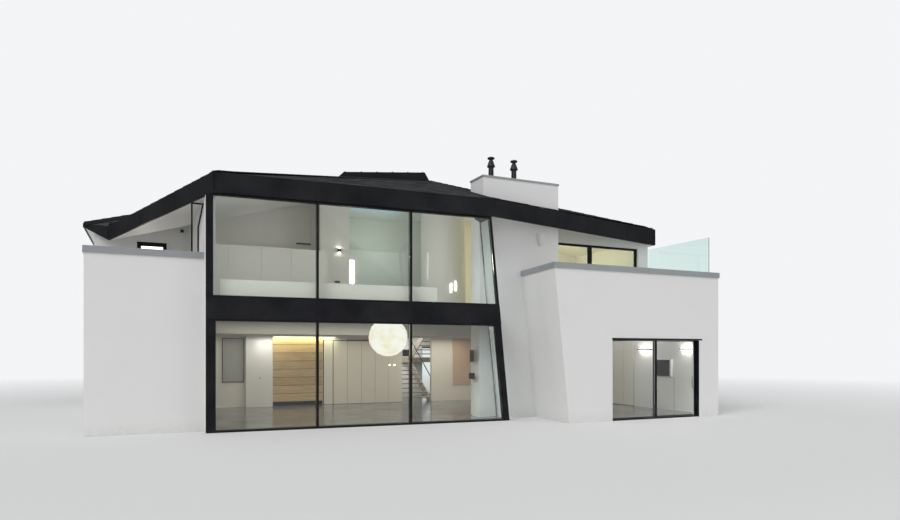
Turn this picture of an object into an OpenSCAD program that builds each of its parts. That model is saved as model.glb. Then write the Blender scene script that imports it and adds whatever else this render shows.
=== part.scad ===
// Detached modern house with a folded slate roof, a leaning glazed front and a terraced wing.
// Millimetres. X runs along the garden front to the right, Y goes back into the house, Z is up.
// All pieces are drawn in plan coordinates, whose zero is the left wing's outer face and the
// right wing's front face at ground level, and then moved so that the origin is under the
// middle of the whole house.

/* [Storeys] */
// Height of the ground floor's top above the ground
ground_floor_t = 60; // [40:10:120]
// Height of the upper floor's top above the ground
upper_z = 3540; // [3400:10:3700]
// Thickness of the upper floor slab
slab_t = 340; // [250:10:400]
// Height of the lowered ceiling over the back of the ground storey
ceiling_z = 2720; // [2600:10:2780]
// Depth of the dark band that covers the upper floor's edge
band_h = 570; // [450:10:620]
// Thickness of the ground storey's ceiling boards
ceiling_t = 40; // [20:5:60]

/* [Walls] */
// Thickness of the rendered outer walls
wall_t = 300; // [250:10:350]
// Thickness of the upper storey's outer walls
upper_wall_t = 250; // [200:10:300]
// Thickness of inner walls
inner_wall_t = 150; // [100:10:200]
// Distance from the right wing's front to the outer face of the back wall
house_d = 13580; // [12500:10:14000]
// Width from the left wing's outer face to the right wing's outer face
house_w = 18760; // [18400:10:19200]
// Distance that the upper storey's right wall stands back from the lower one's face
side_ledge = 160; // [100:10:200]
// Height of the parapets with their copings
parapet_z = 4755; // [4500:5:5000]
// Thickness of the parapet copings
coping_t = 170; // [80:5:200]
// Overhang of the copings beyond the wall face
coping_over = 30; // [10:5:60]
// Distance from a wall's face to the frames of its windows
window_reveal = 60; // [30:5:80]
// Depth of the frames of windows and hinged doors
window_frame_d = 100; // [80:5:120]
// Width of the bars of these frames
window_bar = 70; // [50:5:90]
// Thickness of the glass in these frames, in the door leaves and in the screen
sheet_t = 24; // [16:2:36]

/* [Left wing] */
// Width of the left wing's front
left_w = 2815; // [2600:5:3000]
// Set-back of the left wing's front behind the right wing's front
left_y = 2440; // [2300:10:2700]
// Set-back of the wall behind the left roof terrace
terrace_back_y = 6880; // [6500:10:7200]
// Left edge of the terrace door
terrace_door_x = 1230; // [900:10:1400]
// Width of the terrace door
terrace_door_w = 800; // [700:10:1000]
// Height of the terrace door above the upper floor
terrace_door_h = 1960; // [1900:10:2150]
// Width of the steel stays beside the glazed front
stay_w = 40; // [30:5:60]
// Distance from the glazed front's side wall to the outer stay
stay_out = 315; // [250:5:350]
// Distance from the eaves down to the stays' head
stay_drop = 200; // [190:5:300]
// Height of the bent stay's knee above the coping
stay_knee = 665; // [500:5:800]

/* [Glazed front] */
// Set-back of the glazed front's left end
box_y = 1928; // [1800:1:2100]
// Angle in plan between the glazed front and the wings, in degrees
box_turn = 2.58; // [1.5:0.01:3.5]
// Lean of the glazed front's right end, sideways per unit of height
box_lean = 0.0992; // [0.06:0.0002:0.12]
// Distance between the mullions
pane_pitch = 2720; // [2600:10:2800]
// Width of the corner post beside the upper glass
post_upper_w = 175; // [120:5:220]
// Width of the corner post beside the lower glass
post_lower_w = 240; // [180:5:300]
// Width of a mullion
mullion_w = 60; // [40:5:80]
// Depth of the glazed front's frames
frame_d = 160; // [100:10:200]
// Height of the sill and head bars
rail_h = 50; // [30:5:80]
// Thickness of the glass in the glazed front
glass_t = 32; // [20:2:44]
// Width of the dark post at the leaning corner, lower storey
corner_lower_w = 200; // [120:10:240]
// Width of the dark post at the leaning corner, upper storey
corner_upper_w = 60; // [40:5:100]
// Thickness of the short leaning side's frame
side_frame_t = 50; // [35:5:55]
// Distance that the dark band stands out in front of the frames
band_out = 20; // [10:5:40]
// Distance that the dark band runs in behind the frames
band_in = 40; // [20:5:80]

/* [Chimney] */
// Length of the glazed front's foot that runs on before the chimney breast
breast_lap = 500; // [400:10:600]
// Width of the chimney breast
breast_w = 2840; // [2600:10:3000]
// Set-back of the chimney breast's front face
breast_y = 2340; // [2250:10:2400]
// Depth of the chimney breast
breast_d = 880; // [700:10:1000]
// Height of the chimney
chimney_z = 7740; // [7500:10:8000]
// Thickness of the chimney's walls
chimney_wall = 200; // [150:10:240]
// Thickness of the chimney's coping
chimney_coping_t = 60; // [40:5:100]
// Overhang of the chimney's coping
chimney_coping_over = 20; // [10:5:40]
// Distance that the breast runs on to the left below the roof
shoulder = 140; // [100:10:200]
// Depth of that part of the breast
shoulder_d = 500; // [300:10:700]
// Diameter of a flue pipe
flue_d = 150; // [120:2:180]
// Thickness of a flue pipe's wall
flue_wall = 6; // [4:1:10]
// Gap between a flue pipe and the coping round it
flue_gap = 1; // [0.5:0.5:5]
// Height of the flue cowls above the chimney's coping
flue_h = 760; // [600:10:800]
// Thickness of a cowl's cap
cap_h = 40; // [20:5:60]
// Gap between the pipe's mouth and the cap
cap_gap = 60; // [40:5:100]
// Distance from the chimney's left face to the first flue
flue_x = 520; // [450:10:700]
// Distance between the two flues
flue_pitch = 860; // [700:10:1200]

/* [Right wing] */
// Distance from the chimney breast's left face to the wing's left end along the ground
wing_in = 1640; // [1460:10:1760]
// Distance that the wing's left wall leans outwards at the parapet
wing_lean = 540; // [400:10:600]
// Distance that the wing's left wall splays over its depth
wing_splay = 290; // [150:10:350]
// Width of the wing's front to the right of the sliding door
door_jamb_w = 850; // [650:10:1000]
// Width of the sliding door's opening
door_w = 3540; // [3000:10:3700]
// Height of the sliding door's opening
door_h = 2500; // [2200:10:2700]
// Height of the sliding door's threshold
threshold_h = 50; // [30:5:60]
// Diameter of the sliding leaf's rollers
roller_d = 40; // [30:2:60]
// Width of the sliding door's fixed frame
door_frame_w = 60; // [40:5:80]
// Width of the stiles and rails of a door leaf
stile_w = 90; // [60:5:120]
// Thickness of a door leaf
leaf_t = 50; // [40:2:60]
// Gap between a moving leaf and what it passes
leaf_gap = 8; // [6:1:15]
// Length that the two door leaves overlap
leaf_lap = 90; // [70:5:120]
// Set-back of the sliding door's frame in its opening
door_reveal = 60; // [20:5:80]
// Height of the glass screen's top on the wing's right parapet
screen_z = 5970; // [5600:10:6100]

/* [Upper right window] */
// Distance from the chimney breast to the window's right side
window_w = 4140; // [3800:10:4200]
// Width of the wall between the window and the right side wall
window_jamb_w = 230; // [150:10:300]
// Distance from the chimney breast to the window's mullion
window_split = 2020; // [1800:10:2200]
// Height of the window's head above the upper floor
window_h = 2430; // [2200:10:2500]

/* [Roof] */
// Height of the eaves over the glazed front
eave_z = 6250; // [6150:10:6300]
// Depth of the roof's edge
eave_depth = 530; // [450:10:600]
// Depth of the roof's edge at the right
right_eave_depth = 600; // [500:10:650]
// Thickness of the roof's build-up at the ridge
roof_t = 500; // [450:10:600]
// Thickness of the white lining under the roof
lining_t = 40; // [20:5:60]
// Thickness of the dark fascia boards
fascia_t = 60; // [40:5:80]
// Gap between the fascia and the glazed front's frames
fascia_gap = 5; // [4:1:15]
// Height of the roof's low corner over the left terrace
beak_z = 5540; // [5500:10:5700]
// Depth of the roof's edge at that corner
beak_depth = 420; // [380:10:500]
// Distance of that corner from the left wing's outer face
beak_x = 400; // [200:10:600]
// Distance of that corner in front of the wall behind the terrace
beak_out = 340; // [200:10:500]
// Height of the left eave behind that corner
left_eave_z = 5950; // [5850:10:6100]
// Depth of the roof's edge at its left side
left_eave_depth = 120; // [100:10:530]
// Height of the right eave
right_eave_z = 6150; // [6100:10:6250]
// Overhang of the roof beyond the side walls
roof_over = 300; // [200:10:500]
// Overhang of the roof beyond the back wall
back_over = 500; // [300:10:600]
// Distance of the right eave's front corner before the upper window's wall
corner_over = 40; // [20:5:100]
// Height of the ridge's lower, left end
ridge_left_z = 7860; // [7700:10:8000]
// Distance of the ridge's left end from the left wing's outer face
ridge_left_x = 7430; // [7000:10:7800]
// Height of the ridge's right end
ridge_right_z = 8210; // [8100:10:8400]
// Distance of the ridge's right end from the left wing's outer face
ridge_right_x = 10700; // [10300:10:11000]
// Set-back of the ridge
ridge_y = 5580; // [5300:10:6000]
// Height of the rooflight above the ridge
lantern_h = 340; // [250:10:400]
// Depth of the rooflight from front to back
lantern_w = 900; // [700:10:1200]
// Slant of the rooflight's ends
lantern_rake = 200; // [100:10:300]

/* [Back and left side] */
// Width of a window in the back wall
back_window_w = 2400; // [1800:10:2600]
// Distance from the house's left face to the first window at the back
back_x = 2200; // [1800:10:2600]
// Distance between the windows at the back
back_pitch = 5700; // [5400:10:5800]
// Height of the upper windows at the back
back_window_h = 1500; // [1200:10:1800]
// Sill height of the upper windows at the back above their floor
back_sill = 850; // [700:10:1000]
// Height of the lower windows and the entrance door at the back
back_lower_h = 2400; // [2100:10:2550]
// Width of the entrance door at the back
entrance_w = 1300; // [1000:10:1500]
// Distance between the entrance door and the middle window
entrance_gap = 900; // [600:10:1000]

/* [Inside] */
// Set-back of the lowered ceiling's front edge
drop_y = 6400; // [5600:10:7000]
// Left edge of the timber panel on the inner wall
timber_x = 5860; // [5600:10:6200]
// Width of the timber panel
timber_w = 1940; // [1600:10:2200]
// Thickness of the timber panel
timber_t = 40; // [20:5:60]
// Left face of the upper storey's middle room
room_x = 6700; // [6300:10:7000]
// Set-back of that room's front
room_y = 5500; // [5420:5:5600]
// Width of the solid pier at that room's left
room_pier = 1000; // [800:10:1200]
// Set-back of the upper storey's back rooms
rear_y = 7500; // [7300:10:8000]
// Radius of the curved wall in the upper storey
curve_r = 780; // [740:10:860]
// Distance of the curved wall's middle from the house's left face
curve_x = 10900; // [10700:10:11000]
// Set-back of the curved wall's middle
curve_y = 4880; // [4800:10:5000]
// Height of the upstand behind the upper glass
upstand_h = 500; // [400:10:700]
// Distance from the glazed front's right end to that upstand's end
upstand_end = 1950; // [1500:50:2500]
// Thickness of that upstand
upstand_t = 100; // [60:10:150]
// Gap between that upstand and the frames
upstand_gap = 100; // [60:10:200]
// Height of the cabinets in the upper storey
cabinet_h = 1800; // [1500:10:2000]
// Depth of these cabinets
cabinet_d = 500; // [400:10:600]
// Set-back of these cabinets
cabinet_y = 4580; // [4300:10:4800]
// Diameter of the globe lamp
globe_d = 1200; // [900:10:1220]
// Distance of the globe lamp from the house's left face
globe_x = 8140; // [7900:10:8400]
// Set-back of the globe lamp
globe_y = 2880; // [2700:10:3200]
// Distance from the slab down to the globe's middle
globe_drop = 630; // [620:5:800]
// Diameter of the tube that the globe hangs on
globe_stem_d = 80; // [40:5:120]
// Left side of the stair
stair_x = 11170; // [11000:10:11400]
// Width of a flight
stair_w = 1330; // [1100:10:1350]
// Gap between the two flights
stair_gap = 60; // [40:10:120]
// Going of a stair tread
tread_go = 270; // [250:5:290]
// Thickness of treads and strings
tread_t = 40; // [30:5:50]
// Number of risers from floor to floor
risers = 19; // [18:1:20]
// Depth of the stair's landing
landing_d = 1120; // [1000:10:1300]

/* [Hidden] */

$fn = 48;
white = "white";
dark = [0.10, 0.10, 0.12];
metal = [0.55, 0.57, 0.60];
clear = [0.75, 0.85, 0.85, 0.35];
cut = 20;                   // how far a cutting shape runs past what it cuts
sky = 5000;                 // how far a wall's block runs up before the roof cuts it

seat = 0.3;                 // gap under or behind a piece that is turned against its neighbour

band_z = upper_z - band_h;
slab_z = upper_z - slab_t;
wall_top = parapet_z - coping_t;
side_in = left_w + upper_wall_t;
back_in = house_d - wall_t;
window_head = upper_z + window_h;

// The width from right to left: side wall, upper window, chimney breast, and what is left for the
// glazed front
upper_side_x = house_w - side_ledge;
breast_right = upper_side_x - upper_wall_t - window_jamb_w - window_w;
breast_x = breast_right - breast_w;
breast_back = breast_y + breast_d;
box_len = breast_x + breast_lap - left_w;
wing_x = breast_x + wing_in;
door_x = house_w - door_jamb_w - door_w;

// Stair: two flights with a landing at the back wall, the ground storey's inner wall at its foot
// and the floor's edge at its top
stair_right = stair_x + 2 * stair_w + stair_gap;
rise = (upper_z - ground_floor_t) / risers;
lower_n = floor(risers / 2);
upper_n = risers - lower_n - 2;
landing_y = back_in - landing_d;
stair_y = landing_y - lower_n * tread_go;
inner_y = stair_y - inner_wall_t;
stair_top_y = landing_y - upper_n * tread_go;

// A point of the plan given along and behind the glazed front
function box_pt(u, v) = [
    left_w + u * cos(box_turn) + v * sin(box_turn),
    box_y - u * sin(box_turn) + v * cos(box_turn)
];
// Right end of the glazed front at a height
function box_end(z) = box_len - box_lean * z;
// Left end of the wing's front at a height
function wing_edge(z) = wing_x - wing_lean * z / parapet_z;

// Corners of the roof's edge, anticlockwise from over the front's left end: x, y, height of the
// edge's foot and depth of the edge
front_eave_a = box_pt(post_upper_w, -fascia_t - fascia_gap);
front_eave_b = box_pt(box_end(eave_z) + fascia_t, -fascia_t - fascia_gap);
right_eave_x = upper_side_x + roof_over;
back_eave_y = house_d + back_over;
EAVES = [
    [front_eave_a.x, front_eave_a.y, eave_z, eave_depth],
    [front_eave_b.x, front_eave_b.y, eave_z, eave_depth],
    [right_eave_x, breast_back - corner_over, right_eave_z, right_eave_depth],
    [right_eave_x, back_eave_y, right_eave_z, right_eave_depth],
    [-roof_over, back_eave_y, eave_z, eave_depth],
    [-roof_over, terrace_back_y + fascia_t, left_eave_z, left_eave_depth],
    [beak_x, terrace_back_y - beak_out, beak_z, beak_depth]
];
RIDGE = [
    [ridge_left_x, ridge_y, ridge_left_z, roof_t],
    [ridge_right_x, ridge_y, ridge_right_z, roof_t]
];
// Facets of the roof over those corners, seven at the eaves and two on the ridge
FACETS = [
    [0, 1, 8], [0, 8, 7], [1, 2, 8], [2, 3, 8], [3, 4, 7], [3, 7, 8], [4, 5, 7], [5, 6, 7],
    [6, 0, 7]
];
RING = len(EAVES);

// Moves what is drawn in plan coordinates so that the origin is under the middle of the house
module house() {
    x_low = -roof_over;
    x_high = right_eave_x;
    y_low = -coping_over;
    y_high = back_eave_y;
    translate([-(x_low + x_high) / 2, -(y_low + y_high) / 2, 0]) children();
}

// A block from one corner to the opposite one
module block(low, high) {
    translate(low) cube(high - low);
}

// Frame of the glazed front: X along it to the right, Y back, Z up
module along_box() {
    translate([left_w, box_y, 0]) rotate([0, 0, -box_turn]) children();
}

// A solid whose upright section across the house is a polygon of x and z
module section(points, y0, y1) {
    translate([0, y1, 0]) rotate([90, 0, 0]) linear_extrude(y1 - y0) polygon(points);
}

// A solid whose upright section through the house's depth is a polygon of y and z
module side_section(points, x0, x1) {
    translate([x0, 0, 0]) rotate([90, 0, 90]) linear_extrude(x1 - x0) polygon(points);
}

// A solid between a lower and an upper ring of as many points
module loft(lower, upper) {
    n = len(lower);
    polyhedron(
        points = concat(lower, upper),
        faces = concat(
            [[for (i = [0:n - 1]) i]],
            [[for (i = [n - 1:-1:0]) n + i]],
            [for (i = [0:n - 1]) [i, n + i, n + (i + 1) % n, (i + 1) % n]]
        )
    );
}

// Corner i of the roof's edge, moved inwards by a distance square to both edges
function inward(i, d) =
    let (
        p = EAVES[i], a = EAVES[(i + RING - 1) % RING], b = EAVES[(i + 1) % RING],
        e1 = [p.x - a.x, p.y - a.y] / norm([p.x - a.x, p.y - a.y]),
        e2 = [b.x - p.x, b.y - p.y] / norm([b.x - p.x, b.y - p.y]),
        n1 = [-e1.y, e1.x], n2 = [-e2.y, e2.x],
        s = d / (1 + n1 * n2)
    )
    [p.x + s * (n1.x + n2.x), p.y + s * (n1.y + n2.y)];

// Points of one side of a roof layer: the eaves' corners moved inwards, then the ridge
function under_points(d, lift) = concat(
    [for (i = [0:RING - 1]) let (q = inward(i, d)) [q.x, q.y, EAVES[i][2] + lift]],
    [for (p = RIDGE) [p.x, p.y, p[2] - p[3] + lift]]
);
function top_points(d, lift) = concat(
    [for (i = [0:RING - 1]) let (q = inward(i, d)) [q.x, q.y, EAVES[i][2] + EAVES[i][3] + lift]],
    [for (p = RIDGE) [p.x, p.y, p[2] + lift]]
);

// Height at a place of the plane through three points
function plane_z(a, b, c, x, y) =
    let (n = cross(b - a, c - a))
    a.z - (n.x * (x - a.x) + n.y * (y - a.y)) / n.z;

// A roof layer between two sets of points with the same facets
module layer(lower, upper) {
    n = len(lower);
    polyhedron(
        points = concat(lower, upper),
        faces = concat(
            FACETS,
            [for (f = FACETS) [n + f[2], n + f[1], n + f[0]]],
            [for (i = [0:RING - 1]) let (j = (i + 1) % RING) [i, n + i, n + j]],
            [for (i = [0:RING - 1]) let (j = (i + 1) % RING) [i, n + j, j]]
        )
    );
}

// Everything above the roof's underside, which trims the walls below it
module above_roof() {
    under = under_points(fascia_t, 0);
    layer(under, [for (p = under) [p.x, p.y, eave_z + sky]]);
}

// The same above the fascia's foot beside the left terrace, where the glazed front's corner
// stands outside the roof's edge
module above_edge() {
    under = under_points(fascia_t, 0);
    a = under[0];
    t = under[6];
    corner = [t.x, a.y, plane_z(a, t, under_points(0, 0)[0], t.x, a.y)];
    top = eave_z + sky;
    loft([corner, a, t], [[corner.x, corner.y, top], [a.x, a.y, top], [t.x, t.y, top]]);
}

module trimmed() {
    difference() {
        children();
        above_roof();
        above_edge();
    }
}

// Space that the chimney takes up above the roof, and below it with the shoulder at its left
module stack_space() {
    block([breast_x, breast_y, -cut], [breast_right, breast_back, chimney_z]);
}

module breast_space() {
    stack_space();
    block([breast_x - shoulder, breast_y, -cut], [breast_right, breast_y + shoulder_d, chimney_z]);
}

// Plan of the space inside the outer walls, up to the middle of the wing's leaning wall
module inside_plan(z) {
    wing_l = wing_edge(z) + wall_t / 2;
    v0 = frame_d + band_in + seat;
    corner = box_pt(box_end(z) - side_frame_t - seat, v0);
    polygon([
        [wall_t, left_y + wall_t],
        [side_in, left_y + wall_t],
        [side_in, box_pt(upper_wall_t, v0).y],
        box_pt(upper_wall_t, v0),
        corner,
        [corner.x, breast_y],
        [wing_l + wing_splay, breast_y],
        [wing_l, wall_t],
        [house_w - wall_t, wall_t],
        [house_w - wall_t, back_in],
        [wall_t, back_in]
    ]);
}

module floor_plate(z0, z1) {
    difference() {
        translate([0, 0, z0]) linear_extrude(z1 - z0) inside_plan(z1);
        breast_space();
        wing_left_solid();
    }
}

// Floors and ceiling
module ground_floor() {
    color([0.62, 0.62, 0.60]) house() floor_plate(0, ground_floor_t);
}

// The upper floor ends at the top of the stair. Behind that line it goes on beside the stair well
module upper_floor() {
    color([0.80, 0.80, 0.78]) house() difference() {
        floor_plate(slab_z, upper_z);
        block([0, stair_top_y, slab_z - cut], [house_w, house_d, upper_z + cut]);
    }
}

module rear_floor() {
    color([0.80, 0.80, 0.78]) house() {
        block([wall_t, stair_top_y, slab_z], [stair_x, back_in, upper_z]);
        block([stair_right, stair_top_y, slab_z], [house_w - wall_t, back_in, upper_z]);
    }
}

// Lowered ceiling over the back of the ground storey, with its upstand to the slab
module ground_ceiling() {
    t = ceiling_t;
    color(white) house() {
        side_section([
            [drop_y, ceiling_z], [inner_y, ceiling_z], [inner_y, ceiling_z + t],
            [drop_y + t, ceiling_z + t], [drop_y + t, slab_z], [drop_y, slab_z]
        ], wall_t, house_w - wall_t);
    }
}

// Outer walls
module left_front_wall() {
    color(white) house() block([0, left_y, 0], [left_w, left_y + wall_t, wall_top]);
}

module left_side_wall() {
    color(white) house() trimmed() {
        block([0, left_y + wall_t, 0], [wall_t, back_in, upper_z]);
        block([0, left_y + wall_t, 0], [wall_t, terrace_back_y, wall_top]);
        block([0, terrace_back_y, 0], [upper_wall_t, back_in, upper_z + sky]);
    }
}

module terrace_back_wall() {
    y1 = terrace_back_y + upper_wall_t;
    color(white) house() trimmed() difference() {
        block([upper_wall_t, terrace_back_y, upper_z], [left_w, y1, upper_z + sky]);
        block([terrace_door_x, terrace_back_y - cut, upper_z - cut],
            [terrace_door_x + terrace_door_w, y1 + cut, upper_z + terrace_door_h]);
    }
}

// Wall between the left terrace and the glazed front, down to the ground before the left wing
module box_side_wall() {
    y1 = left_y + wall_t;
    y2 = terrace_back_y + upper_wall_t;
    color(white) house() trimmed() difference() {
        side_section([[box_y, 0], [y1, 0], [y1, upper_z], [y2, upper_z], [y2, upper_z + sky],
            [box_y, upper_z + sky]], left_w, side_in);
        along_box() block([-cut, -wall_t, -cut], [2 * upper_wall_t, frame_d, upper_z + sky + cut]);
    }
}

module back_wall() {
    ex = back_x + back_pitch - entrance_w - entrance_gap;
    color(white) house() trimmed() difference() {
        union() {
            block([0, back_in, 0], [house_w, house_d, upper_z]);
            block([0, back_in, 0], [upper_side_x, house_d, upper_z + sky]);
        }
        for (i = [0:2]) {
            x = back_x + i * back_pitch;
            block([x, back_in - cut, ground_floor_t], [x + back_window_w, house_d + cut, back_lower_h]);
            block([x, back_in - cut, upper_z + back_sill],
                [x + back_window_w, house_d + cut, upper_z + back_sill + back_window_h]);
        }
        block([ex, back_in - cut, -cut], [ex + entrance_w, house_d + cut, back_lower_h]);
    }
}

module right_side_wall() {
    color(white) house() {
        block([house_w - wall_t, wall_t, 0], [house_w, back_in, upper_z]);
        block([house_w - wall_t, wall_t, 0], [house_w, breast_back, wall_top]);
    }
}

module upper_right_side_wall() {
    color(white) house() trimmed()
        block([upper_side_x - upper_wall_t, breast_back, upper_z], [upper_side_x, back_in,
            upper_z + sky]);
}

module upper_window_wall() {
    y1 = breast_back + upper_wall_t;
    color(white) house() trimmed() difference() {
        block([breast_right, breast_back, upper_z], [upper_side_x - upper_wall_t, y1, upper_z + sky]);
        block([breast_right - cut, breast_back - cut, upper_z - cut],
            [breast_right + window_w, y1 + cut, window_head]);
    }
}

// Right wing
module wing_left_solid() {
    foot = [[0, 0], [wall_t, 0], [wall_t + wing_splay, breast_y], [wing_splay, breast_y]];
    loft(
        [for (p = foot) [wing_edge(0) + p.x, p.y, 0]],
        [for (p = foot) [wing_edge(wall_top) + p.x, p.y, wall_top]]
    );
}

module wing_left_wall() {
    color(white) house() wing_left_solid();
}

// A part of the wing's front between two heights, from the leaning wall to a place on the right
module wing_front(z0, z1, x1) {
    difference() {
        section([[wing_edge(z0) + wall_t, z0], [x1, z0], [x1, z1], [wing_edge(z1) + wall_t, z1]],
            0, wall_t);
        wing_left_solid();
    }
}

module wing_front_left() {
    color(white) house() wing_front(0, door_h, door_x);
}

module wing_front_right() {
    color(white) house() block([door_x + door_w, 0, 0], [house_w, wall_t, door_h]);
}

module wing_front_over() {
    color(white) house() wing_front(door_h, wall_top, house_w);
}

// Chimney
module at_flues() {
    for (i = [0, 1])
        translate([breast_x + flue_x + i * flue_pitch, breast_y + breast_d / 2, chimney_z])
            children();
}

module chimney_breast() {
    w = chimney_wall;
    color(white) house() {
        difference() {
            block([breast_x, breast_y, 0], [breast_right, breast_back, chimney_z - chimney_coping_t]);
            block([breast_x + w, breast_y + w, w], [breast_right - w, breast_back - w, chimney_z]);
        }
        trimmed() block([breast_x - shoulder, breast_y, 0], [breast_x, breast_y + shoulder_d,
            chimney_z]);
    }
}

module chimney_coping() {
    o = chimney_coping_over;
    color(metal) house() difference() {
        block([breast_x - o, breast_y - o, chimney_z - chimney_coping_t],
            [breast_right + o, breast_back + o, chimney_z]);
        at_flues() translate([0, 0, -chimney_coping_t - cut])
            cylinder(d = flue_d + 2 * flue_gap, h = chimney_coping_t + 2 * cut);
    }
}

// One flue: an open pipe with a foot flange, a conical collar and a cap on three small legs
module flue() {
    pipe_h = flue_h - cap_h - cap_gap;
    translate([0, 0, -chimney_coping_t]) difference() {
        cylinder(d = flue_d, h = chimney_coping_t + pipe_h);
        translate([0, 0, -cut]) cylinder(d = flue_d - 2 * flue_wall, h = chimney_coping_t + flue_h);
    }
    difference() {
        translate([0, 0, pipe_h * 0.4]) cylinder(d1 = flue_d * 1.7, d2 = flue_d, h = pipe_h * 0.3);
        translate([0, 0, -cut]) cylinder(d = flue_d - flue_wall, h = flue_h);
    }
    difference() {
        cylinder(d = flue_d * 1.4, h = 2 * flue_wall);
        translate([0, 0, -cut]) cylinder(d = flue_d - flue_wall, h = flue_h);
    }
    for (a = [0:120:240])
        rotate([0, 0, a]) translate([flue_d / 2 - flue_wall, -flue_wall / 2, pipe_h - cut])
            cube([flue_wall, flue_wall, cap_gap + 2 * cut]);
    translate([0, 0, flue_h - cap_h]) cylinder(d = flue_d * 1.45, h = cap_h);
}

module flue_cowls() {
    color(dark) house() at_flues() flue();
}

// Roof
module roof_slopes() {
    color(dark) house() difference() {
        layer(under_points(fascia_t, lining_t), top_points(fascia_t, 0));
        stack_space();
    }
}

module roof_lining() {
    color(white) house() difference() {
        layer(under_points(fascia_t, 0), under_points(fascia_t, lining_t));
        stack_space();
    }
}

module roof_fascia() {
    n = RING;
    rings = [under_points(0, 0), top_points(0, 0), top_points(fascia_t, 0), under_points(fascia_t, 0)];
    color(dark) house() polyhedron(
        points = [for (r = rings) for (i = [0:n - 1]) r[i]],
        faces = [for (k = [0:3]) for (i = [0:n - 1]) for (half = [0, 1])
            let (j = (i + 1) % n, a = k * n, b = ((k + 1) % 4) * n)
            half == 0 ? [a + i, b + i, b + j] : [a + i, b + j, a + j]]
    );
}

// Rooflight behind the ridge, with its top parallel to it
module rooflight() {
    slope = (ridge_right_z - ridge_left_z) / (ridge_right_x - ridge_left_x);
    x0 = ridge_left_x - lantern_rake;
    x1 = ridge_left_x + lantern_rake / 2;
    x2 = ridge_right_x - lantern_rake;
    z0 = ridge_left_z + lantern_h;
    foot = ridge_left_z - lantern_h;
    color(dark) house() difference() {
        section([[x0, foot], [ridge_right_x, foot], [ridge_right_x, ridge_right_z],
            [x2, z0 + slope * (x2 - ridge_left_x)], [x1, z0 + slope * (x1 - ridge_left_x)],
            [x0, ridge_left_z]], ridge_y, ridge_y + lantern_w);
        layer([for (p = under_points(0, 0)) [p.x, p.y, 0]], top_points(0, 0));
    }
}

// Copings of the two parapets
module parapet_copings() {
    o = coping_over;
    x0 = wing_edge(wall_top);
    x1 = house_w - wall_t - o;
    y1 = wall_t + o;
    y2 = left_y + wall_t + o;
    slant = wing_splay / breast_y;
    color(metal) house() translate([0, 0, wall_top]) linear_extrude(coping_t) {
        polygon([
            [-o, left_y - o], [left_w, left_y - o], [left_w, y2], [wall_t + o, y2],
            [wall_t + o, terrace_back_y], [-o, terrace_back_y]
        ]);
        polygon([
            [x0 - o - o * slant, -o], [house_w + o, -o], [house_w + o, breast_back],
            [x1, breast_back], [x1, y1], [x0 + y1 + y1 * slant, y1],
            [x0 + y1 + wing_splay, breast_y], [x0 - o + wing_splay, breast_y]
        ]);
    }
}

// Glazed front. A piece that leans with its right end lies between two distances before that end
module end_bar(a, b, z0, z1, v0, v1) {
    section([[box_end(z0) - a, z0], [box_end(z0) - b, z0], [box_end(z1) - b, z1],
        [box_end(z1) - a, z1]], v0, v1);
}

// Depth from the front's line that takes the side glazing to the chimney breast and past it
side_run = breast_y - box_y + box_len * sin(box_turn) + wall_t;

module floor_band() {
    u0 = upper_wall_t / cos(box_turn);
    color(dark) house() difference() {
        along_box() {
            section([[0, band_z], [box_end(band_z), band_z], [box_end(upper_z), upper_z],
                [0, upper_z]], -band_out, frame_d);
            section([[u0, band_z], [box_end(band_z), band_z], [box_end(upper_z), upper_z],
                [u0, upper_z]], frame_d, frame_d + band_in);
            end_bar(side_frame_t, 0, band_z, upper_z, frame_d, side_run);
        }
        breast_space();
    }
}

// Opening i of three in the front frame, from the left
module pane(i, z0, z1, post_w, corner_w, v0, v1) {
    u0 = i == 0 ? post_w : post_upper_w + i * pane_pitch + mullion_w / 2;
    u1 = post_upper_w + (i + 1) * pane_pitch - mullion_w / 2;
    if (i < 2)
        block([u0, v0, z0], [u1, v1, z1]);
    else
        section([[u0, z0], [box_end(z0) - corner_w, z0], [box_end(z1) - corner_w, z1], [u0, z1]],
            v0, v1);
}

// One storey's frame: the front, and the short side back to the chimney breast
module front_frame(z0, z1, top, post_w, corner_w) {
    difference() {
        along_box() difference() {
            union() {
                section([[0, z0], [box_end(z0), z0], [box_end(top), top], [0, top]], 0, frame_d);
                end_bar(side_frame_t, 0, z0, top, frame_d, side_run);
            }
            for (i = [0:2])
                pane(i, z0 + rail_h, z1 - rail_h, post_w, corner_w, -cut, frame_d + cut);
            end_bar(side_frame_t + cut, -cut, z0 + rail_h, z1 - rail_h, frame_d,
                side_run - wall_t - side_frame_t);
        }
        breast_space();
    }
}

module front_glass(z0, z1, post_w, corner_w) {
    v0 = (frame_d - glass_t) / 2;
    u0 = (side_frame_t - glass_t) / 2;
    along_box() {
        for (i = [0:2])
            pane(i, z0 + rail_h, z1 - rail_h, post_w, corner_w, v0, v0 + glass_t);
        end_bar(u0 + glass_t, u0, z0 + rail_h, z1 - rail_h, frame_d,
            side_run - wall_t - side_frame_t);
    }
}

module lower_front_frame() {
    color(dark) house() front_frame(0, band_z, band_z, post_lower_w, corner_lower_w);
}

module upper_front_frame() {
    color(dark) house() trimmed()
        front_frame(upper_z, eave_z, eave_z + wall_t, post_upper_w, corner_upper_w);
}

module lower_front_glass() {
    color(clear) house() front_glass(0, band_z, post_lower_w, corner_lower_w);
}

module upper_front_glass() {
    color(clear) house() front_glass(upper_z, eave_z, post_upper_w, corner_upper_w);
}

// A frame of one bar width round an opening, with its own height for the foot
module frame_ring(x0, x1, z0, z1, w, y0, y1, foot) {
    difference() {
        block([x0, y0, z0], [x1, y1, z1]);
        block([x0 + w, y0 - cut, foot > 0 ? z0 + foot : z0 - cut], [x1 - w, y1 + cut, z1 - w]);
    }
}

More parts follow.
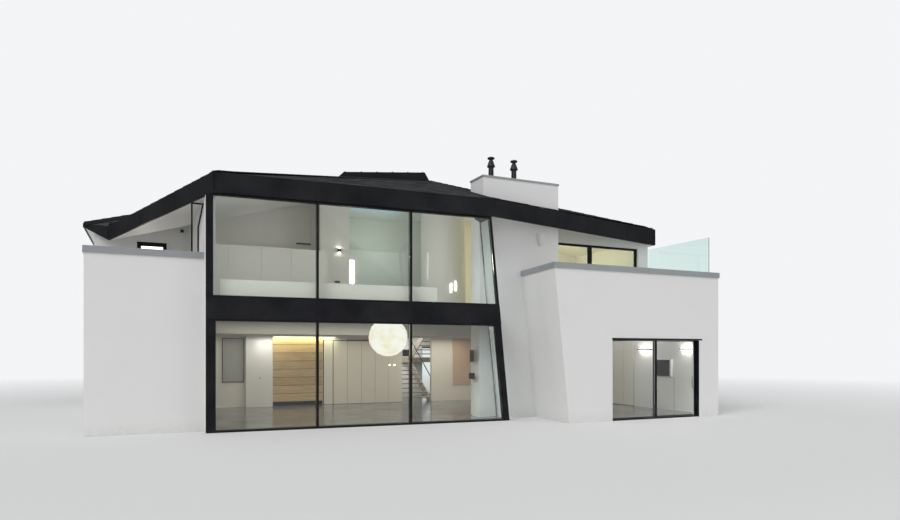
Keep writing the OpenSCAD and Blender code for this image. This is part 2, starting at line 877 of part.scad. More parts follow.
// A sheet of glass that fills such a frame, in the middle of its depth
module frame_glass(x0, x1, z0, z1, w, y0, y1) {
    y = (y0 + y1 - sheet_t) / 2;
    block([x0 + w, y, z0 + w], [x1 - w, y + sheet_t, z1 - w]);
}

// Sliding door in the wing: two tracks, the fixed leaf on the outer one
door_frame_d = 2 * leaf_t + 3 * leaf_gap;
fixed_leaf_y = door_reveal + leaf_gap;
slide_leaf_y = fixed_leaf_y + leaf_t + leaf_gap;
clear_l = door_x + door_frame_w;
clear_r = door_x + door_w - door_frame_w;
leaf_top = door_h - door_frame_w;
leaf_w = (clear_r - clear_l + leaf_lap) / 2;
roller_gap = 0.3;           // how far the rollers stand above the threshold

module door_frame() {
    color(dark) house() frame_ring(door_x, door_x + door_w, 0, door_h, door_frame_w, door_reveal,
        door_reveal + door_frame_d, threshold_h);
}

// One glazed leaf with a running gap all round it
module leaf(x0, x1, y0, gap) {
    z0 = threshold_h + gap;
    z1 = leaf_top - gap;
    frame_ring(x0, x1, z0, z1, stile_w, y0, y0 + leaf_t, stile_w);
    frame_glass(x0, x1, z0, z1, stile_w, y0, y0 + leaf_t);
}

module fixed_door_leaf() {
    color(dark) house() leaf(clear_l, clear_l + leaf_w, fixed_leaf_y, 0);
}

// The leaf's two rollers stand a hair above the threshold
module sliding_door_leaf() {
    x0 = clear_r - leaf_w;
    x1 = clear_r - leaf_gap;
    r = roller_d / 2;
    color(dark) house() {
        leaf(x0, x1, slide_leaf_y, leaf_gap);
        for (x = [x0 + stile_w, x1 - stile_w])
            translate([x, slide_leaf_y + leaf_t * 0.7, threshold_h + roller_gap + r])
                rotate([90, 0, 0]) cylinder(r = r, h = leaf_t * 0.4);
    }
}

// Upper window beside the chimney, and the windows at the back
window_y = breast_back + window_reveal;
back_frame_y = house_d - window_reveal - window_frame_d;

module at_back_windows() {
    for (i = [0:2]) translate([back_x + i * back_pitch, back_frame_y, 0]) children();
}

module window_frames() {
    x0 = breast_right;
    w = window_bar;
    color(dark) house() {
        frame_ring(x0, x0 + window_split, upper_z, window_head, w, window_y,
            window_y + window_frame_d, w);
        frame_ring(x0 + window_split, x0 + window_w, upper_z, window_head, w, window_y,
            window_y + window_frame_d, w);
        at_back_windows() {
            frame_ring(0, back_window_w, ground_floor_t, back_lower_h, w, 0, window_frame_d, w);
            frame_ring(0, back_window_w, upper_z + back_sill, upper_z + back_sill + back_window_h, w,
                0, window_frame_d, w);
        }
    }
}

module window_glass() {
    x0 = breast_right;
    w = window_bar;
    color(clear) house() {
        frame_glass(x0, x0 + window_split, upper_z, window_head, w, window_y,
            window_y + window_frame_d);
        frame_glass(x0 + window_split, x0 + window_w, upper_z, window_head, w, window_y,
            window_y + window_frame_d);
        trimmed() block([room_x + room_pier, room_y, upper_z],
            [curve_x - sqrt(pow(curve_r, 2) - pow(room_y - curve_y, 2)), room_y + sheet_t, upper_z + sky]);
        at_back_windows() {
            frame_glass(0, back_window_w, ground_floor_t, back_lower_h, w, 0, window_frame_d);
            frame_glass(0, back_window_w, upper_z + back_sill,
                upper_z + back_sill + back_window_h, w, 0, window_frame_d);
        }
    }
}

module entrance_door() {
    ex = back_x + back_pitch - entrance_w - entrance_gap;
    y1 = back_frame_y + window_frame_d;
    color(dark) house() {
        frame_ring(ex, ex + entrance_w, 0, back_lower_h, window_bar, back_frame_y, y1, 0);
        block([ex + window_bar, back_frame_y + leaf_t / 2, 0],
            [ex + entrance_w - window_bar, back_frame_y + leaf_t * 1.5, back_lower_h - window_bar]);
    }
}

// Terrace door, as a dark frame round one sheet of glass
module terrace_door() {
    x1 = terrace_door_x + terrace_door_w;
    z1 = upper_z + terrace_door_h;
    y0 = terrace_back_y + window_reveal;
    color(dark) house() {
        frame_ring(terrace_door_x, x1, upper_z, z1, window_bar, y0, y0 + window_frame_d, window_bar);
        frame_glass(terrace_door_x, x1, upper_z, z1, window_bar, y0, y0 + window_frame_d);
    }
}

// Slim steel stays beside the glazed front, between the left coping and the roof
module terrace_stays() {
    w = stay_w;
    y = left_y + wall_t / 2;
    x0 = left_w - stay_out;
    head = eave_z - stay_drop;
    x1 = left_w - stay_out / 2;
    knee = parapet_z + stay_knee;
    color(dark) house() trimmed() {
        block([x0, y, parapet_z], [x0 + w, y + w, head + w]);
        block([x0, y, head], [left_w, y + w, head + w]);
        section([[x1, parapet_z], [x1 + w, parapet_z], [x1 + w, knee], [left_w, head],
            [left_w - w, head], [x1, knee]], y, y + w);
    }
}

// Glass screen on the wing's right parapet
module screen_glass() {
    x = house_w - wall_t / 2;
    color(clear) house()
        block([x, wall_t - coping_over, parapet_z], [x + sheet_t, breast_back, screen_z]);
}

// Inside
module ground_inner_wall() {
    color(white) house() difference() {
        block([wall_t, inner_y, ground_floor_t], [house_w - wall_t, stair_y, slab_z]);
        block([stair_x, inner_y - cut, 0], [stair_x + stair_w, stair_y + cut, ceiling_z]);
    }
}

module timber_panel() {
    color([0.72, 0.56, 0.36]) house()
        block([timber_x, inner_y - timber_t, ground_floor_t], [timber_x + timber_w, inner_y, ceiling_z]);
}

// Upper storey's inner walls, stepped forward round the room beside the curved wall
module upper_inner_walls() {
    t = inner_wall_t;
    top = upper_z + sky;
    curve_end = curve_x + curve_r;
    color(white) house() trimmed() {
        block([side_in, terrace_back_y, upper_z], [room_x + t, terrace_back_y + t, top]);
        block([room_x, room_y, upper_z], [room_x + t, rear_y + t, top]);
        block([room_x, room_y, upper_z], [room_x + room_pier, room_y + t, top]);
        block([room_x, rear_y, upper_z], [upper_side_x - upper_wall_t, rear_y + t, top]);
        difference() {
            block([curve_end - t, curve_y, upper_z], [curve_end, rear_y + t, top]);
            translate([curve_x, curve_y, 0]) cylinder(r = curve_r, h = top + cut, $fn = 64);
        }
    }
}

module curved_wall() {
    color(white) house() trimmed() translate([curve_x, curve_y, upper_z]) difference() {
        cylinder(r = curve_r, h = sky, $fn = 64);
        translate([0, 0, -cut]) cylinder(r = curve_r - inner_wall_t, h = sky + 2 * cut, $fn = 64);
    }
}

// Upstand behind the upper glass, and the low cabinets behind it
module upper_joinery() {
    v0 = frame_d + upstand_gap;
    u0 = upper_wall_t + upstand_gap;
    u1 = box_end(upper_z) - upstand_end;
    color(white) house() {
        along_box() block([u0, v0, upper_z + seat], [u1, v0 + upstand_t, upper_z + upstand_h]);
        block([side_in, cabinet_y, upper_z], [room_x, cabinet_y + cabinet_d, upper_z + cabinet_h]);
    }
}

// A flight of n open treads on two strings, from a place backwards and up. The strings stand on
// the floor, or hang on a landing's edge with a foot of one riser
module flight(n, foot) {
    heel = foot > 0 ? [[0, -foot]] : [[0, 0], [tread_go, 0]];
    for (i = [1:n])
        translate([0, (i - 1) * tread_go - tread_t, i * rise - tread_t])
            cube([stair_w, tread_go + tread_t, tread_t]);
    for (x = [0, stair_w - tread_t])
        side_section(concat(heel, [[n * tread_go, (n - 1) * rise], [n * tread_go, (n + 1) * rise],
            [0, rise]]), x, x + tread_t);
}

module stair() {
    landing_z = ground_floor_t + (lower_n + 1) * rise;
    landing_t = rise + tread_t;
    color([0.85, 0.85, 0.82]) house() {
        translate([stair_x, stair_y, ground_floor_t]) flight(lower_n, 0);
        block([stair_x, landing_y, landing_z - landing_t], [stair_right, back_in, landing_z]);
        translate([stair_right, landing_y, landing_z]) rotate([0, 0, 180]) flight(upper_n, rise);
    }
}

module globe_lamp() {
    color([1, 0.97, 0.88]) house() translate([globe_x, globe_y, slab_z - globe_drop]) {
        sphere(d = globe_d, $fn = 96);
        cylinder(d = globe_stem_d, h = globe_drop);
    }
}

ground_floor();
upper_floor();
rear_floor();
ground_ceiling();
left_front_wall();
left_side_wall();
terrace_back_wall();
box_side_wall();
back_wall();
right_side_wall();
upper_right_side_wall();
upper_window_wall();
wing_front_left();
wing_front_right();
wing_front_over();
wing_left_wall();
chimney_breast();
chimney_coping();
flue_cowls();
roof_slopes();
roof_fascia();
roof_lining();
rooflight();
parapet_copings();
floor_band();
lower_front_frame();
upper_front_frame();
lower_front_glass();
upper_front_glass();
door_frame();
fixed_door_leaf();
sliding_door_leaf();
window_frames();
window_glass();
entrance_door();
terrace_door();
terrace_stays();
screen_glass();
ground_inner_wall();
timber_panel();
upper_inner_walls();
curved_wall();
upper_joinery();
stair();
globe_lamp();
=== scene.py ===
# %% [markdown]
# A detached modern house, dressed for rendering.
#
# The construction comes as a fixed frame of separate pieces at their real size: walls, roof,
# frames, glass, floors. This file gives every piece its finish and adds what is too fine for the
# frame, such as slates, boards, joints, lamps and sills. All lengths are metres, with the glazed
# front facing -Y, the ground at zero and the origin under the middle of the house.

# %% Load the frame
import math

import bmesh
import bpy
from mathutils import Matrix, Vector
from mathutils.bvhtree import BVHTree
from mathutils.geometry import convex_hull_2d


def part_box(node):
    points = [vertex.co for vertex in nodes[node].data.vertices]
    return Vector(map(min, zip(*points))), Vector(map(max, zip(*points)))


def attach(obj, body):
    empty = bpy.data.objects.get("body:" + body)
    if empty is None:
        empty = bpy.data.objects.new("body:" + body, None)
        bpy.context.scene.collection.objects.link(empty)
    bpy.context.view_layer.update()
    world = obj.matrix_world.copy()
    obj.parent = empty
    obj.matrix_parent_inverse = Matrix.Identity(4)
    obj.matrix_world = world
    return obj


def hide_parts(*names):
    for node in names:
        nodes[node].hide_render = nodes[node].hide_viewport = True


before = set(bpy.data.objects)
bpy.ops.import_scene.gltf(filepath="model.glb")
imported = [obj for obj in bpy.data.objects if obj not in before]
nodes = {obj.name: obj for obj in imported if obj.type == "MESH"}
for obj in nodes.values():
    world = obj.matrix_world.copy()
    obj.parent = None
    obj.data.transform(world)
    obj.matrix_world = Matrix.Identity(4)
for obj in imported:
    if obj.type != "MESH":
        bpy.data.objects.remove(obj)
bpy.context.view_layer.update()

# %% [markdown]
# Places could be typed in the frame's own numbers, but those move when the house grows wider.
# Every place in this file is given from the left wing's outer face and the right wing's front
# face, as on a surveyor's plan, and both faces are read from the frame.

# %% Places on the plan
PLAN_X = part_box("left_front_wall")[0].x
PLAN_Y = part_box("wing_front_right")[0].y


def plan(x, y, z=0.0):
    """A place given from the left wing's outer face and the right wing's front."""
    return Vector((PLAN_X + x, PLAN_Y + y, z))


print("plan zero at", round(PLAN_X, 3), round(PLAN_Y, 3))

# %% [markdown]
# The camera stands in front of the house at the height of a tall tripod. It could be tilted up to
# take in the roof, but then upright edges would lean. An architect's photograph keeps them upright:
# the camera is level, and its lens is shifted up instead.

# %% Camera
CAMERA_PLACE = (-8.10, -23.445, 2.06)
CAMERA_YAW = -25.07
CAMERA_LENS = 26.76
CAMERA_SHIFT = 0.1042


def make_camera():
    data = bpy.data.cameras.new("camera")
    data.lens = CAMERA_LENS
    data.sensor_width = 36.0
    data.shift_y = CAMERA_SHIFT
    data.clip_end = 500.0
    camera = bpy.data.objects.new("camera", data)
    camera.location = CAMERA_PLACE
    camera.rotation_euler = (math.radians(90), 0, math.radians(CAMERA_YAW))
    bpy.context.scene.collection.objects.link(camera)
    bpy.context.scene.camera = camera


make_camera()
print("camera at", CAMERA_PLACE, "lens", CAMERA_LENS, "mm")

# %% [markdown]
# Small helpers come next. A node material is a short list of nodes and links. Written out in full,
# each node takes several lines, so a few functions earn their place: one feeds a socket with a
# value or a link, and the others add a node, do a sum, mix colours and start a group.

# %% Helpers for materials
def feed(tree, socket, value):
    """Sets a socket to a value, or links another socket to it."""
    if isinstance(value, bpy.types.NodeSocket):
        tree.links.new(value, socket)
    else:
        socket.default_value = value


def new_material(name, **values):
    """A material with one Principled shader; values set its plain sockets by name."""
    material = bpy.data.materials.new(name)
    material.use_nodes = True
    shader = material.node_tree.nodes["Principled BSDF"]
    for socket, value in values.items():
        shader.inputs[socket.replace("_", " ")].default_value = value
    return material


def add_node(tree, kind, **inputs):
    """A node of a kind, with its inputs set to values or linked to sockets."""
    node = tree.nodes.new(kind)
    for name, value in inputs.items():
        feed(tree, node.inputs[name.replace("_", " ")], value)
    return node


def rgba(r, g, b):
    return (r, g, b, 1.0)


def object_place(tree):
    return tree.nodes.new("ShaderNodeTexCoord").outputs["Object"]


print("helpers for materials ready")

# %% Helpers for sums and colours
def math_node(tree, operation, *values):
    """The result of one sum on numbers or sockets."""
    node = tree.nodes.new("ShaderNodeMath")
    node.operation = operation
    for socket, value in zip(node.inputs, values):
        feed(tree, socket, value)
    return node.outputs[0]


def vector_math(tree, operation, *values):
    """The result of one sum on vectors. SCALE takes a vector and a number."""
    node = tree.nodes.new("ShaderNodeVectorMath")
    node.operation = operation
    sockets = (node.inputs[0], node.inputs["Scale"]) if operation == "SCALE" else node.inputs
    for socket, value in zip(sockets, values):
        feed(tree, socket, value)
    return node.outputs["Value" if operation == "LENGTH" else "Vector"]


def mix_colours(tree, share, a, b):
    """Two colours mixed by a share, each a value or a socket."""
    node = tree.nodes.new("ShaderNodeMix")
    node.data_type = "RGBA"
    for i, value in ((0, share), (6, a), (7, b)):
        feed(tree, node.inputs[i], value)
    return node.outputs[2]


def spread(tree, value, low, high, to_low=0.0, to_high=1.0):
    """A number taken from one range to another, and held at its ends."""
    node = tree.nodes.new("ShaderNodeMapRange")
    for socket, given in zip(node.inputs, (value, low, high, to_low, to_high)):
        feed(tree, socket, given)
    return node.outputs[0]


print("helpers for sums and colours ready")

# %% Helpers for groups
def new_group(name, kind, inputs, outputs):
    """An empty group. Each socket is a label with its kind, or with its number to start from."""
    tree = bpy.data.node_groups.new(name, kind)
    for way, sockets in (("INPUT", inputs), ("OUTPUT", outputs)):
        for label, value in sockets:
            named = isinstance(value, str)
            socket = tree.interface.new_socket(
                label, in_out=way, socket_type="NodeSocket" + (value if named else "Float"))
            if not named:
                socket.default_value = value
    return tree, tree.nodes.new("NodeGroupInput").outputs, tree.nodes.new("NodeGroupOutput").inputs


def use_group(tree, group, values):
    """A shared group placed in a material, with its first inputs set."""
    node = tree.nodes.new("ShaderNodeGroup")
    node.node_tree = group
    for socket, value in zip(node.inputs, values):
        socket.default_value = value
    return node.outputs


print("helpers for groups ready")

# %% [markdown]
# Weather leaves the same marks on every outside surface: a cloudy change of tone, and a little
# dust near the ground. They could be painted on each piece, but one node group makes them for all
# materials. It takes a colour and gives it back with its marks, and a number for roughness.

# %% Node group: weathered tone
SOOT, DUST = rgba(0.05, 0.05, 0.05), rgba(0.28, 0.25, 0.21)


def build_weathered_tone():
    group, given, result = new_group("weathered_tone", "ShaderNodeTree", [
        ("Colour", "Color"), ("Cloud size", 1.2), ("Cloud depth", 0.08), ("Ground dust", 0.10),
        ("Dust height", 0.5), ("Roughness", 0.7), ("Roughness change", 0.1)], [
        ("Colour", "Color"), ("Roughness", "Float")])
    place = object_place(group)
    cloud = add_node(group, "ShaderNodeTexNoise", Vector=place, Scale=given["Cloud size"],
                     Detail=5.0, Roughness=0.6)
    fine = add_node(group, "ShaderNodeTexNoise", Vector=place, Scale=14.0, Detail=3.0)
    tone = spread(group, cloud.outputs["Fac"], 0.3, 0.7)
    height = add_node(group, "ShaderNodeSeparateXYZ", Vector=place).outputs["Z"]
    low = spread(group, height, 0.0, given["Dust height"], 1.0, 0.0)
    speck = spread(group, fine.outputs["Fac"], 0.35, 0.65, 0.3, 1.0)
    dust = math_node(group, "MULTIPLY", math_node(group, "MULTIPLY", low, speck),
                     given["Ground dust"])
    dark = math_node(group, "MULTIPLY", tone, given["Cloud depth"])
    darker = mix_colours(group, dark, given["Colour"], SOOT)
    feed(group, result["Colour"], mix_colours(group, dust, darker, DUST))
    swing = math_node(group, "SUBTRACT", tone, 0.5)
    feed(group, result["Roughness"], math_node(group, "MULTIPLY_ADD", swing,
                                               given["Roughness change"], given["Roughness"]))
    return group


WEATHERED = build_weathered_tone()
print("group", WEATHERED.name, "made")

# %% [markdown]
# Fine relief is the second shared effect. Plaster, stone and rolled metal all have a surface that
# is not quite flat, at their own scale and depth. It is far too fine for real faces, so the group
# gives a height, and each material feeds it to its own Bump node.

# %% Node group: fine relief
def build_fine_relief():
    group, given, result = new_group("fine_relief", "ShaderNodeTree", [
        ("Grain size", 90.0), ("Wave size", 1.5), ("Wave share", 0.5)], [("Height", "Float")])
    place = object_place(group)
    grain = add_node(group, "ShaderNodeTexNoise", Vector=place, Scale=given["Grain size"],
                     Detail=4.0)
    wave = add_node(group, "ShaderNodeTexNoise", Vector=place, Scale=given["Wave size"],
                    Detail=2.0)
    mixed = group.nodes.new("ShaderNodeMix")
    for i, value in ((0, given["Wave share"]), (2, grain.outputs["Fac"]), (3, wave.outputs["Fac"])):
        feed(group, mixed.inputs[i], value)
    feed(group, result["Height"], mixed.outputs[0])
    return group


RELIEF = build_fine_relief()
print("group", RELIEF.name, "made")

# %% [markdown]
# Most finishes of a house differ only in colour, shine and scale. Each could be a node tree of its
# own, but one function can place both groups in a new material and set their inputs. A finish is
# then one call, and a change to a group reaches them all.

# %% Finish from the two groups
def outdoor_finish(name, colour, roughness, cloud=(1.2, 0.06), dust=(0.1, 0.5),
                   relief=(90.0, 1.5, 0.5), bump=(0.15, 0.002), **values):
    """A material whose colour, roughness and bump come from the two shared groups."""
    material = new_material(name, **values)
    tree = material.node_tree
    shader = tree.nodes["Principled BSDF"]
    tone = use_group(tree, WEATHERED, (rgba(*colour), *cloud, *dust, roughness))
    feed(tree, shader.inputs["Base Color"], tone["Colour"])
    feed(tree, shader.inputs["Roughness"], tone["Roughness"])
    height = use_group(tree, RELIEF, relief)["Height"]
    lift = add_node(tree, "ShaderNodeBump", Strength=bump[0], Distance=bump[1], Height=height)
    feed(tree, shader.inputs["Normal"], lift.outputs[0])
    return material


print("finishes take", len(WEATHERED.interface.items_tree), "sockets of tone")

# %% [markdown]
# The walls are rendered and painted white. Such a wall is nearly flat, with a fine stipple and
# long, faint clouds where rain has run. One plain white would do for them all from far off, but
# close to, the soffit and the inner walls are smoother, so each white has its own grain.

# %% Render, plaster and paint
RENDER = outdoor_finish("white_render", (0.80, 0.80, 0.79), 0.82, cloud=(0.5, 0.035),
                        dust=(0.16, 0.35), relief=(160.0, 0.8, 0.35), bump=(0.25, 0.003))
SOFFIT = outdoor_finish("soffit_paint", (0.80, 0.80, 0.78), 0.6, cloud=(0.8, 0.02),
                        dust=(0.0, 0.1), relief=(60.0, 1.0, 0.5), bump=(0.1, 0.002))
PLASTER = outdoor_finish("inner_plaster", (0.80, 0.775, 0.715), 0.75, cloud=(0.4, 0.02),
                         dust=(0.0, 0.1), relief=(120.0, 0.7, 0.5), bump=(0.1, 0.002))
JOINERY = outdoor_finish("painted_joinery", (0.80, 0.77, 0.70), 0.35, cloud=(0.3, 0.02),
                         dust=(0.0, 0.1), relief=(40.0, 0.6, 0.7), bump=(0.06, 0.002))
print("white finishes made")

# %% [markdown]
# Dark metal is everywhere on this house: frames, band, fascia, flues. A flat black would look cut
# out. Powder paint has a fine orange peel, and long folded sheets bulge a little, which only their
# reflections show, so the relief group gets a fine grain and a long wave.

# %% Metals
FRAME_METAL = outdoor_finish("dark_frame_metal", (0.006, 0.006, 0.008), 0.42, cloud=(2.0, 0.2),
                             dust=(0.04, 0.2), relief=(400.0, 2.5, 0.4), bump=(0.08, 0.001),
                             Specular_IOR_Level=0.15)
FASCIA_METAL = outdoor_finish("dark_fascia_metal", (0.006, 0.0065, 0.009), 0.46, cloud=(0.9, 0.3),
                              dust=(0.0, 0.2), relief=(120.0, 0.9, 0.8), bump=(0.12, 0.01),
                              Specular_IOR_Level=0.15)
COPING_METAL = outdoor_finish("coping_metal", (0.42, 0.44, 0.46), 0.50, cloud=(1.4, 0.12),
                              dust=(0.0, 0.2), relief=(150.0, 1.2, 0.7), bump=(0.10, 0.006),
                              Metallic=0.5)
FLUE_METAL = outdoor_finish("flue_metal", (0.045, 0.046, 0.050), 0.5, cloud=(5.0, 0.3),
                            dust=(0.0, 0.2), relief=(150.0, 6.0, 0.6), bump=(0.1, 0.002),
                            Metallic=0.6)
HARDWARE = outdoor_finish("brushed_hardware", (0.60, 0.60, 0.60), 0.32, cloud=(9.0, 0.1),
                          dust=(0.0, 0.2), relief=(300.0, 9.0, 0.4), bump=(0.05, 0.0005),
                          Metallic=1.0)
print("metals made")

# %% [markdown]
# Some small things have a finish of their own: a blank canvas, a warm darker panel, black gloss, the
# stained edges of treads and dark boards. The warm darker panel is painted shade: its colour stands
# for a partition wall in shade beside the chimney breast, which is not built. They come from the same
# function, because a flat colour alone would look like plastic beside the other materials.

# %% Plain finishes
CANVAS = outdoor_finish("blank_canvas", (0.42, 0.43, 0.42), 0.7, cloud=(1.5, 0.1), dust=(0.0, 0.1),
                        relief=(260.0, 4.0, 0.3), bump=(0.2, 0.001))
# Painted shade: this warm darker colour stands for a partition wall in shade, which is not built.
PARTITION_SHADE_PAINT = outdoor_finish("painted_partition_shade", (0.62, 0.46, 0.36), 0.6, cloud=(0.9, 0.06),
                              dust=(0.0, 0.1))
BLACK_GLOSS = outdoor_finish("black_gloss", (0.010, 0.010, 0.012), 0.12, cloud=(2.0, 0.1),
                             dust=(0.0, 0.1), relief=(60.0, 1.0, 0.8), bump=(0.02, 0.001),
                             Specular_IOR_Level=0.15)
# tread_edge is the treads' stain, and its brown also paints the shade in the gap over the cupboard
# doors.
TREAD_EDGE = outdoor_finish("tread_edge", (0.20, 0.11, 0.05), 0.4, cloud=(6.0, 0.3),
                            dust=(0.0, 0.1))
DARK_BOARDS = outdoor_finish("dark_boards", (0.030, 0.031, 0.034), 0.55, cloud=(3.0, 0.3),
                             relief=(200.0, 8.0, 0.4), bump=(0.15, 0.002))
print("plain finishes made")

# %% [markdown]
# Window glass is a clear sheet with a faint green tint. A Transparent shader alone would let all
# light through but show no reflections. Principled glass has them, but bends light, so a lamp
# throws no clear light through it in a path tracer. The Light Path node joins the two: shadow rays
# meet the Transparent shader, all others the glass, and the rooms behind it stay bright.

# %% Glass
def glass_finish(name, colour, roughness=0.0):
    material = new_material(name, Base_Color=rgba(*colour), Roughness=roughness, IOR=1.45,
                            Transmission_Weight=1.0)
    tree = material.node_tree
    shader = tree.nodes["Principled BSDF"]
    clear = add_node(tree, "ShaderNodeBsdfTransparent", Color=rgba(*colour))
    path = tree.nodes.new("ShaderNodeLightPath")
    mix = tree.nodes.new("ShaderNodeMixShader")
    for i, value in enumerate((path.outputs["Is Shadow Ray"], shader.outputs[0], clear.outputs[0])):
        feed(tree, mix.inputs[i], value)
    feed(tree, tree.nodes["Material Output"].inputs["Surface"], mix.outputs[0])
    return material


GLASS = glass_finish("clear_glass", (0.93, 0.965, 0.95))
SCREEN = glass_finish("green_screen_glass", (0.78, 0.93, 0.90))
print("glass made")

# %% [markdown]
# Stone floors are honed, so they show soft reflections of the lamps. Timber could carry a photo of
# wood, but then every board would repeat it. Noise that is stretched along the board gives a grain
# without end, and each board's own random shade moves it on and changes its tone.

# %% Floors and timber
FLOOR = outdoor_finish("honed_floor", (0.13, 0.13, 0.135), 0.18, cloud=(0.8, 0.04), dust=(0.0, 0.1),
                       relief=(30.0, 0.7, 0.3), bump=(0.01, 0.001))
PAVER = outdoor_finish("terrace_paver", (0.46, 0.455, 0.44), 0.75, cloud=(3.0, 0.15),
                       dust=(0.0, 0.1), relief=(120.0, 3.0, 0.4), bump=(0.3, 0.002))


def timber_finish(name, pale, deep, roughness, stretch=(0.6, 8.0, 14.0)):
    """Grain from noise stretched along the board and moved by each board's own shade."""
    material = new_material(name, Roughness=roughness)
    tree = material.node_tree
    shader = tree.nodes["Principled BSDF"]
    shade = add_node(tree, "ShaderNodeAttribute")
    shade.attribute_name = "shade"
    apart = math_node(tree, "MULTIPLY", shade.outputs["Fac"], 40.0)
    moved = vector_math(tree, "MULTIPLY_ADD", object_place(tree), stretch, apart)
    grain = add_node(tree, "ShaderNodeTexNoise", Vector=moved, Scale=3.0, Detail=6.0,
                     Roughness=0.65, Distortion=0.4)
    line = spread(tree, grain.outputs["Fac"], 0.35, 0.65)
    tone = mix_colours(tree, line, rgba(*deep), rgba(*pale))
    board = spread(tree, shade.outputs["Fac"], 0.0, 1.0, 0.8, 1.1)
    feed(tree, shader.inputs["Base Color"], vector_math(tree, "SCALE", tone, board))
    lift = add_node(tree, "ShaderNodeBump", Strength=0.15, Distance=0.001, Height=line)
    feed(tree, shader.inputs["Normal"], lift.outputs[0])
    return material


TIMBER = timber_finish("oiled_boards", (0.66, 0.50, 0.28), (0.46, 0.32, 0.16), 0.5)
STAIR_WOOD = timber_finish("stair_wood", (0.72, 0.66, 0.56), (0.60, 0.53, 0.43), 0.4,
                           stretch=(14.0, 0.6, 8.0))
print("floors and timber made")

# %% [markdown]
# Slates are split by hand, so each has its own tone and a riven face. A noise texture would tint
# them in clouds that ignore the joints. So the tone comes from the attribute `shade`, a random
# number that Geometry Nodes will store on every slate.

# %% Slate
def slate_finish():
    material = new_material("roof_slate", Specular_IOR_Level=0.4)
    tree = material.node_tree
    shader = tree.nodes["Principled BSDF"]
    shade = add_node(tree, "ShaderNodeAttribute")
    shade.attribute_name = "shade"
    tone = tree.nodes.new("ShaderNodeValToRGB")
    tone.color_ramp.elements[0].color = rgba(0.020, 0.022, 0.026)
    tone.color_ramp.elements[1].color = rgba(0.062, 0.064, 0.070)
    feed(tree, tone.inputs[0], shade.outputs["Fac"])
    place = object_place(tree)
    vein = add_node(tree, "ShaderNodeTexNoise", Vector=place, Scale=18.0, Detail=6.0,
                    Roughness=0.7, Distortion=0.6)
    pale = mix_colours(tree, spread(tree, vein.outputs["Fac"], 0.55, 0.8, 0.0, 0.25),
                       tone.outputs[0], rgba(0.12, 0.12, 0.12))
    feed(tree, shader.inputs["Base Color"], pale)
    feed(tree, shader.inputs["Roughness"], spread(tree, vein.outputs["Fac"], 0.3, 0.7, 0.45, 0.7))
    lift = add_node(tree, "ShaderNodeBump", Strength=0.4, Distance=0.004,
                    Height=vein.outputs["Fac"])
    feed(tree, shader.inputs["Normal"], lift.outputs[0])
    return material


SLATE = slate_finish()
print("slate made")

# %% [markdown]
# A lamp's bright face could be a light object, but a visible face needs a material. Emission does
# both: the face shows, and it lights the wall beside it. The globe's paper is nearly white, with
# soft yellower clouds where it lies in two layers.

# %% Lit surfaces
def lit_finish(name, colour, strength):
    return new_material(name, Base_Color=rgba(0.4, 0.4, 0.4), Roughness=0.6,
                        Emission_Color=rgba(*colour), Emission_Strength=strength)


def paper_glow():
    """Lit paper with clouds and fine creases of a deeper yellow."""
    material = new_material("paper_glow", Base_Color=rgba(0.10, 0.10, 0.09), Roughness=0.9,
                            Specular_IOR_Level=0.1, Emission_Strength=0.98)
    tree = material.node_tree
    cloud = add_node(tree, "ShaderNodeTexNoise", Vector=object_place(tree), Scale=2.6, Detail=4.0,
                     Roughness=0.6)
    crease = add_node(tree, "ShaderNodeTexNoise", Vector=object_place(tree), Scale=16.0, Detail=3.0,
                      Distortion=1.5)
    share = spread(tree, cloud.outputs["Fac"], 0.44, 0.66)
    tone = mix_colours(tree, share, rgba(1.0, 0.98, 0.90), rgba(0.90, 0.82, 0.55))
    fine = spread(tree, crease.outputs["Fac"], 0.45, 0.75, 0.0, 0.25)
    paper = mix_colours(tree, fine, tone, rgba(0.84, 0.76, 0.54))
    feed(tree, tree.nodes["Principled BSDF"].inputs["Emission Color"], paper)
    return material


LAMP_GLOW = paper_glow()
SPOT_GLOW = lit_finish("spot_glow", (1.0, 0.95, 0.82), 6.0)
LENS_GLOW = lit_finish("lens_glow", (1.0, 0.94, 0.84), 90.0)
SOFT_GLOW = lit_finish("soft_glow", (0.62, 0.75, 0.60), 0.45)
# cove_glow lights the wall-wash slot, a lamp, and is painted light in the upper doorway, where it
# stands for a lit room.
COVE_GLOW = lit_finish("cove_glow", (1.0, 0.96, 0.86), 2.5)
# sky_glow is no lamp: it paints the sky's light in the well under the rooflight.
SKY_GLOW = lit_finish("sky_glow", (0.35, 0.55, 0.72), 0.35)
print("lit finishes made")

# %% [markdown]
# Now every piece of the frame gets its finish. This could be one line for each piece, but a list
# of finishes with their pieces is easier to read and to change.

